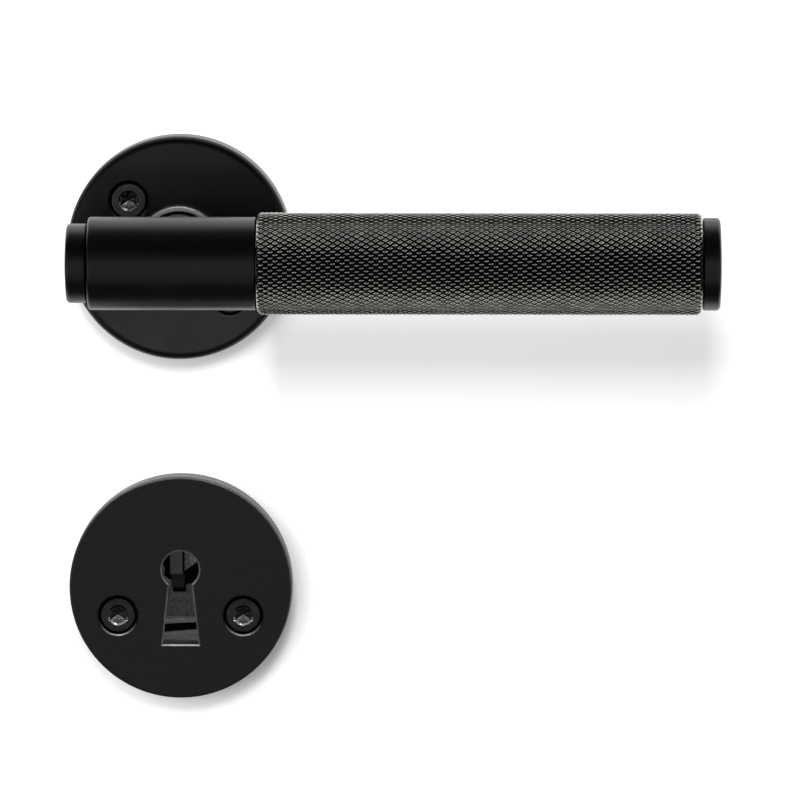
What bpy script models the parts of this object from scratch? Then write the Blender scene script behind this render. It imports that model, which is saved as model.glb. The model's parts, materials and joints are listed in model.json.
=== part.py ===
"""Lever handle lockset: two knurled lever handles on round roses, two keyhole
escutcheons, and the mortise lock between them that the handles and the key work.

Frame, in metres: the origin is on the handle axis in the middle plane of the
door. +X is the way the levers point, +Z is up, and -Y is the outside of the
door. Lengths below are in millimetres and are scaled by MM.
"""

import math

import bmesh
import bpy
from mathutils import Matrix, Vector

MM = 0.001
GAP = 0.3                 # space left between pieces that rest on each other

# door and trim
DOOR = 40.0               # door thickness between the two rose backs
FACE = DOOR / 2
ROSE_R = 26.7
ROSE_T = 9.0
ROSE_WALL = 1.6
ROSE_PLATE = 1.8
KEY_T = 9.0
KEY_PLATE = 2.2
BASE_R = ROSE_R - ROSE_WALL - 0.4
ROSE_SCREW = (12.0, 11.35)  # offset of the two rose screws, on a falling diagonal
KEY_Z = -77.2             # centre of the round of the keyhole
ESC_Z = -81.7             # centre of the escutcheon
KEY_SCREW_X = 15.0
KEY_SCREW_Z = ESC_Z - 6.6

# lever
AXIS_D = 45.0             # lever axis above the door face
BARREL_R = 10.85
BARREL_X = (-19.6, 19.5)
GRIP_R = 11.95
GRIP_X = (19.8, 123.2)
END_CAP_R = 10.8
END_CAP_X = (123.5, 127.9)
INNER_CAP_R = 9.25
INNER_CAP_X = (-25.0, -19.9)
NECK_R = 8.4
COLLAR_R = 10.2
SQUARE = 8.0              # spindle
SOCKET = SQUARE / 2 + GAP

# fixings
HEAD_R = 4.08
HEAD_H = 2.3
HEAD_TOP = 8.5            # top of a screw head above the door face
BORE_R = 4.6
SCREW_R = 2.0
SLEEVE_R = 3.0

# keyhole
HOLE_R = 4.77
SLOT_NECK = 3.02
SLOT_FOOT = 4.67
SLOT_LOW = 18.16

# lock
CASE_X = (-47.0, 28.0)
CASE_Z = (-107.0, 32.0)
CASE_Y = 7.5
SHEET = 1.5
FOREND_X = (-50.0, -47.3)
FOREND_Y = 11.0
FOREND_Z = (-125.0, 50.0)
LATCH_OUT = 11.0
LATCH_Z = (11.0, 25.0)
BOLT_Z = (-64.0, -44.0)
PIVOT = (18.0, -49.0)     # tumblers
GUIDE = (-8.0, -55.0)     # guide post in the slot of the deadbolt
SPRING_POST = (-14.0, -31.0)
STUMP = (-12.0, -49.0)
THROW = 13.0
FLAP = (-2.2, -66.5)      # dust flap pivot

SIDES = {"outside": -1.0, "inside": 1.0}


# ---------------------------------------------------------------- helpers

for old in list(bpy.data.objects):
    bpy.data.objects.remove(old, do_unlink=True)

scene = bpy.context.scene
parts = bpy.data.collections.new("lever_handle_lockset")
tools = bpy.data.collections.new("cutters")
scene.collection.children.link(parts)
scene.collection.children.link(tools)


def material(name, colour, roughness, metallic):
    m = bpy.data.materials.new(name)
    m.use_nodes = True
    m.diffuse_color = (*colour, 1.0)
    bsdf = m.node_tree.nodes["Principled BSDF"]
    bsdf.inputs["Base Color"].default_value = (*colour, 1.0)
    bsdf.inputs["Roughness"].default_value = roughness
    bsdf.inputs["Metallic"].default_value = metallic
    return m


LOOKS = {
    "satin_black": ((0.014, 0.014, 0.013), 0.42, 0.0),
    "knurled_black": ((0.045, 0.045, 0.041), 0.35, 0.9),
    "satin_collar": ((0.30, 0.30, 0.31), 0.4, 0.8),
    "black_steel": ((0.055, 0.056, 0.06), 0.4, 0.9),
    "zinc_steel": ((0.45, 0.45, 0.43), 0.35, 1.0),
    "spring_steel": ((0.36, 0.35, 0.33), 0.3, 1.0),
    "brass": ((0.62, 0.46, 0.2), 0.35, 1.0),
    "grey_zamak": ((0.33, 0.33, 0.34), 0.5, 0.8),
    "nickel": ((0.6, 0.58, 0.54), 0.25, 1.0),
}


def coat(obj, look):
    colour, roughness, metallic = LOOKS[look]
    obj.data.materials.clear()
    obj.data.materials.append(material(f"{obj.name}_{look}", colour, roughness, metallic))


def from_bmesh(name, bm, collection):
    mesh = bpy.data.meshes.new(name)
    bm.to_mesh(mesh)
    bm.free()
    obj = bpy.data.objects.new(name, mesh)
    collection.objects.link(obj)
    if collection is tools:
        obj.hide_render = True
        obj.display_type = "WIRE"
    return obj


def bake(obj):
    """Applies the modifiers, closes the seams and turns the faces outwards."""
    bpy.context.view_layer.update()
    graph = bpy.context.evaluated_depsgraph_get()
    mesh = bpy.data.meshes.new_from_object(obj.evaluated_get(graph))
    obj.modifiers.clear()
    old = obj.data
    obj.data = mesh
    bpy.data.meshes.remove(old)
    bm = bmesh.new()
    bm.from_mesh(mesh)
    bmesh.ops.remove_doubles(bm, verts=bm.verts, dist=2e-6)
    bmesh.ops.recalc_face_normals(bm, faces=bm.faces)
    bm.to_mesh(mesh)
    bm.free()
    return obj


def turned(name, profile, matrix, segments, collection=parts):
    """A solid of revolution about local Z. The profile is (radius, height), down its outer side."""
    bm = bmesh.new()
    points = [bm.verts.new((r * MM, 0.0, h * MM)) for r, h in profile]
    closed = profile[0][0] > 0
    for a, b in zip(points, points[1:] + (points[:1] if closed else [])):
        bm.edges.new((a, b))
    obj = from_bmesh(name, bm, collection)
    obj.matrix_world = matrix
    screw = obj.modifiers.new("turn", "SCREW")
    screw.axis = "Z"
    screw.angle = math.tau
    screw.steps = screw.render_steps = segments
    screw.use_merge_vertices = True
    screw.merge_threshold = 1e-5
    return bake(obj)


def outward(side, x=0.0, z=0.0):
    """Local Z leaves the door from its face, at (x, z)."""
    s = SIDES[side]
    return Matrix.Translation((x * MM, s * FACE * MM, z * MM)) @ Matrix.Rotation(
        -s * math.pi / 2, 4, "X"
    )


def along_x(y=0.0, z=0.0):
    """Local Z runs along +X."""
    return Matrix.Translation((0.0, y * MM, z * MM)) @ Matrix.Rotation(math.pi / 2, 4, "Y")


def along_y(x=0.0, z=0.0):
    """Local Z runs along +Y."""
    return Matrix.Translation((x * MM, 0.0, z * MM)) @ Matrix.Rotation(-math.pi / 2, 4, "X")


def rod(name, start, end, radius, segments=20, radius2=None, collection=tools):
    start, end = Vector(start) * MM, Vector(end) * MM
    way = end - start
    bm = bmesh.new()
    bmesh.ops.create_cone(
        bm, cap_ends=True, cap_tris=False, segments=segments, radius1=radius * MM,
        radius2=(radius if radius2 is None else radius2) * MM, depth=way.length,
    )
    turn = way.to_track_quat("Z", "Y").to_matrix().to_4x4()
    bmesh.ops.transform(bm, verts=bm.verts, matrix=turn)
    obj = from_bmesh(name, bm, collection)
    obj.location = (start + end) / 2
    return obj


def block(name, low, high, bevel=0.0, collection=tools):
    low, high = Vector(low) * MM, Vector(high) * MM
    size = high - low
    bm = bmesh.new()
    bmesh.ops.create_cube(bm, size=1.0)
    bmesh.ops.scale(bm, verts=bm.verts, vec=size)
    obj = from_bmesh(name, bm, collection)
    obj.location = (low + high) / 2
    if bevel:
        m = obj.modifiers.new("edges", "BEVEL")
        m.width = bevel * MM
        m.segments = 1
        bake(obj)
    return obj


def plate(name, loops, y0, y1, collection=parts):
    """A flat piece in the XZ plane: the first loop is its outline, the others are holes."""
    curve = bpy.data.curves.new(name, "CURVE")
    curve.dimensions = "2D"
    curve.fill_mode = "BOTH"
    curve.extrude = abs(y1 - y0) / 2 * MM
    for loop in loops:
        spline = curve.splines.new("POLY")
        spline.points.add(len(loop) - 1)
        for point, (x, z) in zip(spline.points, loop):
            point.co = (x * MM, z * MM, 0.0, 1.0)
        spline.use_cyclic_u = True
    drawn = bpy.data.objects.new(name + "_outline", curve)
    collection.objects.link(drawn)
    drawn.matrix_world = Matrix.Translation((0.0, (y0 + y1) / 2 * MM, 0.0)) @ Matrix.Rotation(
        math.pi / 2, 4, "X"
    )
    bpy.context.view_layer.update()
    graph = bpy.context.evaluated_depsgraph_get()
    mesh = bpy.data.meshes.new_from_object(drawn.evaluated_get(graph))
    bm = bmesh.new()
    bm.from_mesh(mesh)
    bmesh.ops.remove_doubles(bm, verts=bm.verts, dist=2e-6)
    bmesh.ops.recalc_face_normals(bm, faces=bm.faces)
    obj = from_bmesh(name, bm, collection)
    obj.matrix_world = drawn.matrix_world.copy()
    bpy.data.objects.remove(drawn, do_unlink=True)
    bpy.data.meshes.remove(mesh)
    return obj


def wire(name, points, radius, sides=1):
    """A spring: a round wire through the points."""
    curve = bpy.data.curves.new(name, "CURVE")
    curve.dimensions = "3D"
    curve.bevel_depth = radius * MM
    curve.bevel_resolution = sides
    curve.use_fill_caps = True
    spline = curve.splines.new("POLY")
    spline.points.add(len(points) - 1)
    for point, p in zip(spline.points, points):
        point.co = (p[0] * MM, p[1] * MM, p[2] * MM, 1.0)
    obj = bpy.data.objects.new(name, curve)
    parts.objects.link(obj)
    return obj


def combine(obj, others, operation):
    for other in others:
        m = obj.modifiers.new(other.name, "BOOLEAN")
        m.operation = operation
        m.solver = "EXACT"
        m.object = other
    return bake(obj)


def cut(obj, *others):
    return combine(obj, others, "DIFFERENCE")


def join(obj, *others):
    return combine(obj, others, "UNION")


def circle(x, z, radius, count):
    return [
        (x + radius * math.cos(math.tau * i / count), z + radius * math.sin(math.tau * i / count))
        for i in range(count)
    ]


def keyhole(grow=0.0, count=16):
    """Round of the keyhole over a slot that widens downwards."""
    radius, half = HOLE_R + grow, SLOT_NECK + grow
    start = -math.acos(half / radius)
    sweep = math.pi - 2 * start
    arc = [
        (radius * math.cos(start + sweep * i / count), KEY_Z + radius * math.sin(start + sweep * i / count))
        for i in range(count + 1)
    ]
    low = KEY_Z - SLOT_LOW - grow
    return arc + [(-SLOT_FOOT - grow, low), (SLOT_FOOT + grow, low)]


def star(x, z, outer=2.3, inner=1.68, count=18, turn=math.pi / 2):
    """Six-lobed drive recess."""
    mean, swing = (outer + inner) / 2, (outer - inner) / 2
    out = []
    for i in range(count):
        a = math.tau * i / count
        r = mean + swing * math.cos(6 * a)
        out.append((x + r * math.cos(a + turn), z + r * math.sin(a + turn)))
    return out


def pivot(name, at):
    empty = bpy.data.objects.new(name, None)
    empty.location = Vector(at) * MM
    empty.empty_display_size = 0.01
    parts.objects.link(empty)
    return empty


# ---------------------------------------------------------------- trim, once for each side of the door

handle_parts = []

for side, s in SIDES.items():

    def d(distance):
        """World Y of a distance above the door face on this side."""
        return s * (FACE + distance)

    lever_axis = along_x(y=d(AXIS_D))

    # lever: barrel and neck are one casting
    low, high = BARREL_X
    barrel = turned(
        f"{side}_lever_barrel",
        [(0, high), (BARREL_R - 0.5, high), (BARREL_R, high - 0.5), (BARREL_R, low + 0.7),
         (BARREL_R - 0.7, low), (0, low)],
        lever_axis, 32,
    )
    neck = turned(
        f"{side}_neck",
        [(0, AXIS_D), (NECK_R, AXIS_D), (NECK_R, 2.9), (NECK_R - 1.0, 2.9), (NECK_R - 1.0, 1.5),
         (NECK_R, 1.5), (NECK_R, 0.5), (0, 0.5)],
        outward(side), 24, tools,
    )
    join(barrel, neck)
    cut(
        barrel,
        block(f"{side}_socket", (-SOCKET, min(d(-1), d(36)), -SOCKET), (SOCKET, max(d(-1), d(36)), SOCKET)),
        rod(f"{side}_bore_left", (low - 1, d(AXIS_D), 0), (-10.0, d(AXIS_D), 0), 6.2, 16),
        rod(f"{side}_bore_right", (9.0, d(AXIS_D), 0), (high + 1, d(AXIS_D), 0), 6.2, 16),
        rod(f"{side}_grub_hole", (0, d(15), -9.5), (0, d(15), -3.0), 2.6, 16),
    )
    grub = rod(f"{side}_grub_screw", (0, d(15), -8.1), (0, d(15), -4.35), 2.25, 16, collection=parts)
    cut(grub, rod(f"{side}_grub_hex", (0, d(15), -8.6), (0, d(15), -6.4), 1.3, 6))

    core = turned(
        f"{side}_grip_core",
        [(0, 118.5), (5.4, 118.5), (5.9, 118.0), (5.9, 9.5), (0, 9.5)], lever_axis, 16,
    )
    cut(core, rod(f"{side}_core_thread", (101.0, d(AXIS_D), 0), (120.0, d(AXIS_D), 0), 3.4, 12))

    low, high = GRIP_X
    sleeve = turned(
        f"{side}_grip_sleeve",
        [(GRIP_R - 0.7, high), (GRIP_R, high - 0.7), (GRIP_R, low + 0.7), (GRIP_R - 0.7, low),
         (6.2, low), (6.2, high)],
        lever_axis, 40,
    )

    low, high = END_CAP_X
    end_cap = turned(
        f"{side}_end_cap",
        [(0, high), (END_CAP_R - 0.7, high), (END_CAP_R, high - 0.7), (END_CAP_R, low), (3.1, low),
         (3.1, 105.0), (0, 105.0)],
        lever_axis, 28,
    )
    low, high = INNER_CAP_X
    inner_cap = turned(
        f"{side}_inner_cap",
        [(0, -11.0), (5.9, -11.0), (5.9, high), (INNER_CAP_R, high), (INNER_CAP_R, low + 0.8),
         (INNER_CAP_R - 0.8, low), (0, low)],
        lever_axis, 28,
    )

    # rose
    cover = turned(
        f"{side}_rose_cover",
        [(COLLAR_R + GAP, ROSE_T), (ROSE_R - 0.6, ROSE_T),
         (ROSE_R, ROSE_T - 0.6), (ROSE_R, 0.0), (ROSE_R - ROSE_WALL, 0.0),
         (ROSE_R - ROSE_WALL, ROSE_T - ROSE_PLATE), (COLLAR_R + GAP, ROSE_T - ROSE_PLATE)],
        outward(side), 40,
    )
    base_top = ROSE_T - ROSE_PLATE - GAP
    base = turned(
        f"{side}_rose_base",
        [(13.4, base_top), (BASE_R, base_top), (BASE_R, 0.0), (NECK_R + 2.2, 0.0), (NECK_R + 2.2, 3.0),
         (NECK_R + 0.5, 3.0), (NECK_R + 0.5, 3.8), (13.4, 3.8)],
        outward(side), 28,
    )
    bores, seats, ways = [], [], []
    for n, (sx, sz) in enumerate(((-1, 1), (1, -1))):
        x, z = sx * ROSE_SCREW[0], sz * ROSE_SCREW[1]
        bores.append(rod(f"{side}_rose_bore_{n}", (x, d(6), z), (x, d(11), z), BORE_R, 18))
        seats.append(rod(f"{side}_rose_seat_{n}", (x, d(HEAD_TOP - HEAD_H - GAP), z), (x, d(9), z), BORE_R, 18))
        ways.append(
            rod(f"{side}_rose_way_{n}", (x, d(-1), z), (x, d(8), z), (SCREW_R if s < 0 else SLEEVE_R) + 0.4, 12)
        )
    cut(cover, *bores)
    cut(base, *seats, *ways)
    collar = turned(
        f"{side}_collar",
        [(NECK_R + 0.4, 10.4), (COLLAR_R - 0.3, 10.4), (COLLAR_R, 10.1), (COLLAR_R, base_top + GAP),
         (NECK_R + 0.4, base_top + GAP)],
        outward(side), 28,
    )

    # return spring cassette
    clip = turned(
        f"{side}_circlip",
        [(10.1, 2.6), (10.1, 1.8), (NECK_R - 0.7, 1.8), (NECK_R - 0.7, 2.6)], outward(side), 20,
    )
    cut(clip, block(f"{side}_clip_gap", (-2.2, min(d(1.2), d(4)), -12), (2.2, max(d(1.2), d(4)), -5)))
    driver = turned(
        f"{side}_spring_driver",
        [(10.4, 6.6), (10.4, 4.1), (NECK_R + 0.3, 4.1), (NECK_R + 0.3, 6.6)], outward(side), 20,
    )
    join(driver, block(f"{side}_driver_lug", (-1.5, min(d(6.0), d(6.5)), -12.4), (1.5, max(d(6.0), d(6.5)), -9.4)))
    coil = []
    turns, steps = 1.25, 20
    for i in range(steps + 1):
        a = math.radians(60) + math.tau * turns * i / steps
        coil.append((12.0 * math.cos(a), d(4.5 + 0.94 * i / steps), 12.0 * math.sin(a)))
    wire(f"{side}_return_spring", coil, 0.35)

    # key escutcheon
    key_cover = turned(
        f"{side}_key_cover",
        [(0, KEY_T), (ROSE_R - 0.6, KEY_T), (ROSE_R, KEY_T - 0.6), (ROSE_R, 0.0),
         (ROSE_R - ROSE_WALL, 0.0), (ROSE_R - ROSE_WALL, KEY_T - KEY_PLATE), (0, KEY_T - KEY_PLATE)],
        outward(side, z=ESC_Z), 40,
    )
    key_top = KEY_T - KEY_PLATE - GAP
    key_base = turned(
        f"{side}_key_base", [(0, key_top), (BASE_R, key_top), (BASE_R, 0.0), (0, 0.0)], outward(side, z=ESC_Z), 28,
    )
    cut(key_cover, plate(f"{side}_keyhole", [keyhole()], min(d(5), d(11)), max(d(5), d(11)), tools))
    cut(key_base, plate(f"{side}_base_keyhole", [keyhole(1.0, 14)], min(d(-1), d(7)), max(d(-1), d(7)), tools))
    bores, seats, ways = [], [], []
    for n, x in enumerate((-KEY_SCREW_X, KEY_SCREW_X)):
        bores.append(rod(f"{side}_key_bore_{n}", (x, d(6), KEY_SCREW_Z), (x, d(11), KEY_SCREW_Z), BORE_R, 18))
        seats.append(rod(f"{side}_key_seat_{n}", (x, d(HEAD_TOP - HEAD_H - GAP), KEY_SCREW_Z), (x, d(9), KEY_SCREW_Z), BORE_R, 18))
        ways.append(
            rod(f"{side}_key_way_{n}", (x, d(-1), KEY_SCREW_Z), (x, d(7), KEY_SCREW_Z),
                (SCREW_R if s < 0 else SLEEVE_R) + 0.4, 12)
        )
    cut(key_cover, *bores)
    cut(key_base, *seats, *ways)

    # fixings: screws from the outside into sleeve nuts from the inside
    kind = "screw" if s < 0 else "sleeve_nut"
    fixings = []
    for label, x, z, top in (
        ("rose_{}_upper", -ROSE_SCREW[0], ROSE_SCREW[1], HEAD_TOP),
        ("rose_{}_lower", ROSE_SCREW[0], -ROSE_SCREW[1], HEAD_TOP),
        ("key_{}_left", -KEY_SCREW_X, KEY_SCREW_Z, HEAD_TOP),
        ("key_{}_right", KEY_SCREW_X, KEY_SCREW_Z, HEAD_TOP),
    ):
        name = f"{side}_" + label.format(kind)
        head = [(0, top), (HEAD_R - 0.2, top), (HEAD_R, top - 0.2), (HEAD_R, top - HEAD_H)]
        if s < 0:
            body = head + [(SCREW_R, top - HEAD_H), (SCREW_R, -24.6), (SCREW_R - 0.4, -25.0), (0, -25.0)]
        else:
            body = head + [(SLEEVE_R, top - HEAD_H), (SLEEVE_R, 0.3 - DOOR), (SCREW_R + 0.3, 0.3 - DOOR),
                           (SCREW_R + 0.3, -8.0), (0, -8.0)]
        screw = turned(name, body, outward(side, x, z), 16)
        cut(screw, plate(name + "_drive", [star(x, z)], min(d(top - 1.7), d(top + 1)), max(d(top - 1.7), d(top + 1)), tools))
        fixings.append(screw)

    for obj in (barrel, inner_cap, end_cap, cover, key_cover):
        coat(obj, "satin_black")
    coat(sleeve, "knurled_black")
    coat(collar, "satin_collar")
    coat(core, "zinc_steel")
    for obj in (grub, *fixings):
        coat(obj, "black_steel")
    for obj in (base, key_base):
        coat(obj, "grey_zamak")
    coat(clip, "spring_steel")
    coat(driver, "zinc_steel")
    coat(bpy.data.objects[f"{side}_return_spring"], "spring_steel")
    handle_parts += [barrel, grub, core, sleeve, end_cap, inner_cap, clip, driver]

# ---------------------------------------------------------------- spindle and follower

spindle = block("spindle", (-SQUARE / 2, -FACE - 34, -SQUARE / 2), (SQUARE / 2, FACE + 34, SQUARE / 2), 0.5, parts)
coat(spindle, "zinc_steel")

follower = turned(
    "follower",
    [(0, 7.2), (8.2, 7.2), (8.2, 5.7), (10.0, 5.7), (10.0, -5.7), (8.2, -5.7), (8.2, -7.2), (0, -7.2)],
    along_y(), 24,
)
join(follower, plate("follower_arm", [[(-3.2, 7.0), (3.2, 7.0), (2.4, 19.0), (-2.4, 19.0)]], -2.0, 3.0, tools))
cut(follower, block("follower_square", (-SOCKET, -9, -SOCKET), (SOCKET, 9, SOCKET)))
coat(follower, "brass")
handle_parts += [spindle, follower]

# ---------------------------------------------------------------- latch bolt

latch = block(
    "latch_bolt", (FOREND_X[0] - LATCH_OUT, -5.5, LATCH_Z[0]), (-44.8, 5.5, LATCH_Z[1]), collection=parts,
)
slope = block("latch_slope", (-12, 0, -20), (12, 14, 20))
slope.matrix_world = (
    Matrix.Translation(Vector((FOREND_X[0] - LATCH_OUT, -3.2, 18.0)) * MM)
    @ Matrix.Rotation(math.radians(41), 4, "Z")
    @ Matrix.Translation((0.0, 7.0 * MM, 0.0))
)
cut(latch, slope)
join(
    latch,
    block("latch_tail", (-46.0, -5.5, 15.2), (6.5, -2.5, 21.0)),
    block("latch_lug", (3.4, -5.4, 10.8), (6.6, 3.0, 20.9)),
)
coat(latch, "nickel")

spring_points = []
turns, per_turn = 6, 9
for i in range(turns * per_turn + 1):
    a = math.tau * i / per_turn
    x = -44.1 + 17.5 * i / (turns * per_turn)
    spring_points.append((x, 2.0 + 2.6 * math.cos(a), 18.0 + 2.6 * math.sin(a)))
latch_spring = wire("latch_spring", spring_points, 0.35)
coat(latch_spring, "spring_steel")

# ---------------------------------------------------------------- deadbolt and tumblers

deadbolt = block("deadbolt", (FOREND_X[0], -4.0, BOLT_Z[0]), (-31.6, 4.0, BOLT_Z[1]), collection=parts)
join(
    deadbolt,
    block("bolt_tail", (-32.2, 2.7, BOLT_Z[0] + 0.1), (14.0, 5.4, -46.0)),
    block("bolt_stump", (STUMP[0] - 2, -5.2, STUMP[1] - 2), (STUMP[0] + 2, 4.0, STUMP[1] + 2)),
)
slot = [(GUIDE[0] + 2.4 * math.cos(a), GUIDE[1] + 2.4 * math.sin(a)) for a in [math.pi / 2 + math.pi * i / 8 for i in range(9)]]
slot += [(GUIDE[0] + THROW + 2.4 * math.cos(a), GUIDE[1] + 2.4 * math.sin(a)) for a in [-math.pi / 2 + math.pi * i / 8 for i in range(9)]]
cut(
    deadbolt,
    plate("bolt_slot", [slot], 2.0, 6.0, tools),
    plate("bolt_talon", [[(-5.5, -66.0), (5.5, -66.0), (4.0, -60.5), (-4.0, -60.5)]], 2.0, 6.0, tools),
)
coat(deadbolt, "nickel")

belly = [
    (12.0 * math.cos(math.radians(a)), KEY_Z + 12.0 * math.sin(math.radians(a))) for a in range(132, 47, -12)
]
boss = [
    (PIVOT[0] + 5.0 * math.cos(math.radians(a)), PIVOT[1] + 5.0 * math.sin(math.radians(a)))
    for a in range(-60, 91, 25)
]
outline = [(-31.0, -43.0), (-31.0, -59.5), (-12.0, -61.5)] + belly + [(11.5, -60.0)] + boss + [(14.0, -43.0)]
window = [
    (-9.5, -46.6), (-17.5, -46.6), (-17.5, -47.6), (-19.5, -47.6), (-19.5, -46.6), (-27.6, -46.6),
    (-27.6, -56.6), (-9.5, -54.0),
]
tumblers = []
for n, (y0, y1) in enumerate(((-4.9, -2.5), (-1.9, 0.5)), 1):
    t = plate(f"tumbler_{n}", [outline, window, circle(*PIVOT, 2.6, 16)], y0, y1)
    coat(t, "brass")
    tumblers.append(t)
    strip_top, strip_low = [], []
    for i in range(9):
        u = i / 8
        x = (1 - u) ** 2 * 10 + 2 * u * (1 - u) * -2 + u * u * -12.6
        z = (1 - u) ** 2 * -42.4 + 2 * u * (1 - u) * -42.2 + u * u * -33.9
        dx = 2 * (1 - u) * -12 + 2 * u * -10.6
        dz = 2 * (1 - u) * 0.2 + 2 * u * 8.3
        length = math.hypot(dx, dz)
        nx, nz = -dz / length * 0.25, dx / length * 0.25
        strip_top.append((x + nx, z + nz))
        strip_low.append((x - nx, z - nz))
    leaf = plate(f"tumbler_spring_{n}", [strip_top + strip_low[::-1]], y0 + 0.4, y1 - 0.4)
    coat(leaf, "spring_steel")

# ---------------------------------------------------------------- ward plate and dust flap

notch_x, notch_half, notch_z = -1.5, 1.6, KEY_Z - 9.5
rim = [(7.6 * math.cos(math.radians(a)), KEY_Z + 7.6 * math.sin(math.radians(a))) for a in range(-35, -146, -10)]
right = [p for p in rim if p[0] > notch_x + notch_half + 0.3]
left = [p for p in rim if p[0] < notch_x - notch_half - 0.3]


def rim_z(x):
    return KEY_Z - math.sqrt(7.6**2 - x * x)


inner = (
    right
    + [(notch_x + notch_half, rim_z(notch_x + notch_half)), (notch_x + notch_half, notch_z),
       (notch_x - notch_half, notch_z), (notch_x - notch_half, rim_z(notch_x - notch_half))]
    + left
)
ward = plate(
    "ward_plate",
    [
        [(-11.0, -105.2), (11.0, -105.2), (11.0, KEY_Z + 2.8), (-0.3, KEY_Z + 2.8), (-0.3, KEY_Z - 4.4),
         (2.6, KEY_Z - 2.3), (4.8, KEY_Z - 0.8)] + inner + [(-11.0, KEY_Z - 5.0)],
        [(-8.6, KEY_Z - 19.7), (8.6, KEY_Z - 18.3), (8.6, KEY_Z - 16.6), (0.0, KEY_Z - 17.1), (-8.6, KEY_Z - 17.7)],
        circle(-8.0, -101.5, 1.25, 8),
        circle(8.0, -101.5, 1.25, 8),
    ],
    -0.6, 0.6,
)
coat(ward, "zinc_steel")

flap_boss = [
    (FLAP[0] + 2.4 * math.cos(math.radians(a)), FLAP[1] + 2.4 * math.sin(math.radians(a)))
    for a in range(-50, 231, 28)
]
flap = plate(
    "dust_flap",
    [[(FLAP[0] - 1.25, KEY_Z - 4.4), (FLAP[0] + 1.75, KEY_Z - 4.4)] + flap_boss, circle(*FLAP, 1.35, 12)],
    -6.0, -5.2,
)
join(
    flap,
    block("flap_web", (FLAP[0] - 1.2, -5.7, KEY_Z - 4.4), (FLAP[0] + 1.7, -3.4, KEY_Z - 3.8)),
    block("flap_tip", (FLAP[0] - 1.1, -4.2, KEY_Z - 7.9), (FLAP[0] + 2.1, -3.4, KEY_Z - 3.9)),
)
coat(flap, "black_steel")

# ---------------------------------------------------------------- lock case, cover and forend

case = block("lock_case", (CASE_X[0], -6.0, CASE_Z[0]), (CASE_X[1], CASE_Y, CASE_Z[1]), collection=parts)
cut(
    case,
    block("case_inside", (CASE_X[0] + SHEET, -8, CASE_Z[0] + SHEET), (CASE_X[1] - SHEET, CASE_Y - SHEET, CASE_Z[1] - SHEET)),
)
corner_posts = [(23.0, 28.0), (23.0, -103.0), (-42.5, -103.0), (-42.5, 28.0)]
posts = [rod(f"corner_post_{n}", (x, 6.6, z), (x, -6.0, z), 2.4, 10) for n, (x, z) in enumerate(corner_posts)]
posts += [
    rod("tumbler_post", (PIVOT[0], 6.6, PIVOT[1]), (PIVOT[0], -5.7, PIVOT[1]), 2.2, 12),
    rod("guide_post", (GUIDE[0], 6.6, GUIDE[1]), (GUIDE[0], 2.6, GUIDE[1]), 2.0, 12),
    rod("spring_post", (SPRING_POST[0], 6.6, SPRING_POST[1]), (SPRING_POST[0], -5.5, SPRING_POST[1]), 2.0, 10),
    rod("ward_post_left", (-8.0, 6.6, -101.5), (-8.0, 0.9, -101.5), 1.8, 10),
    rod("ward_post_right", (8.0, 6.6, -101.5), (8.0, 0.9, -101.5), 1.8, 10),
    rod("ward_rivet_left", (-8.0, 1.5, -101.5), (-8.0, -1.2, -101.5), 0.85, 8),
    rod("ward_rivet_right", (8.0, 1.5, -101.5), (8.0, -1.2, -101.5), 0.85, 8),
    block("spring_stop", (-26.0, -1.0, 14.6), (-24.0, 6.6, 21.6)),
]
join(case, *posts)

ways = [rod("hub_way", (0, -9, 0), (0, 9, 0), 8.6, 24)]
ways += [
    rod(f"fixing_way_{n}", (x, -9, z), (x, 9, z), SLEEVE_R + 0.4, 12)
    for n, (x, z) in enumerate(
        ((-ROSE_SCREW[0], ROSE_SCREW[1]), (ROSE_SCREW[0], -ROSE_SCREW[1]),
         (-KEY_SCREW_X, KEY_SCREW_Z), (KEY_SCREW_X, KEY_SCREW_Z))
    )
]
ways.append(plate("case_keyhole", [keyhole(2.2, 14)], -9.0, 9.0, tools))
threads = [rod(f"corner_thread_{n}", (x, -7, z), (x, 1, z), 1.4, 8) for n, (x, z) in enumerate(corner_posts)]
gates = [
    block("latch_gate", (-60, -5.8, LATCH_Z[0] - GAP), (-40, 5.8, LATCH_Z[1] + GAP)),
    block("bolt_gate", (-60, -4.3, BOLT_Z[0] - GAP), (-40, 4.3, BOLT_Z[1] + GAP)),
]
cut(case, *ways, *threads, *gates)
coat(case, "zinc_steel")

case_cover = block("case_cover", (CASE_X[0], -CASE_Y, CASE_Z[0]), (CASE_X[1], -6.3, CASE_Z[1]), collection=parts)
join(case_cover, rod("flap_pin", (FLAP[0], -6.8, FLAP[1]), (FLAP[0], -5.1, FLAP[1]), 1.0, 12))
cut(
    case_cover, *ways,
    *[rod(f"cover_way_{n}", (x, -9, z), (x, -5, z), 1.6, 8) for n, (x, z) in enumerate(corner_posts)],
)
coat(case_cover, "zinc_steel")
for n, (x, z) in enumerate(corner_posts, 1):
    screw = turned(
        f"case_screw_{n}",
        [(0, -0.5), (1.1, -0.9), (1.1, -CASE_Y - GAP), (2.6, -CASE_Y - GAP), (2.4, -9.0), (0, -9.0)],
        along_y(x, z), 12,
    )
    cut(screw, block(f"case_screw_slot_{n}", (x - 2.0, -10.0, z - 0.35), (x + 2.0, -8.4, z + 0.35)))
    coat(screw, "zinc_steel")

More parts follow.
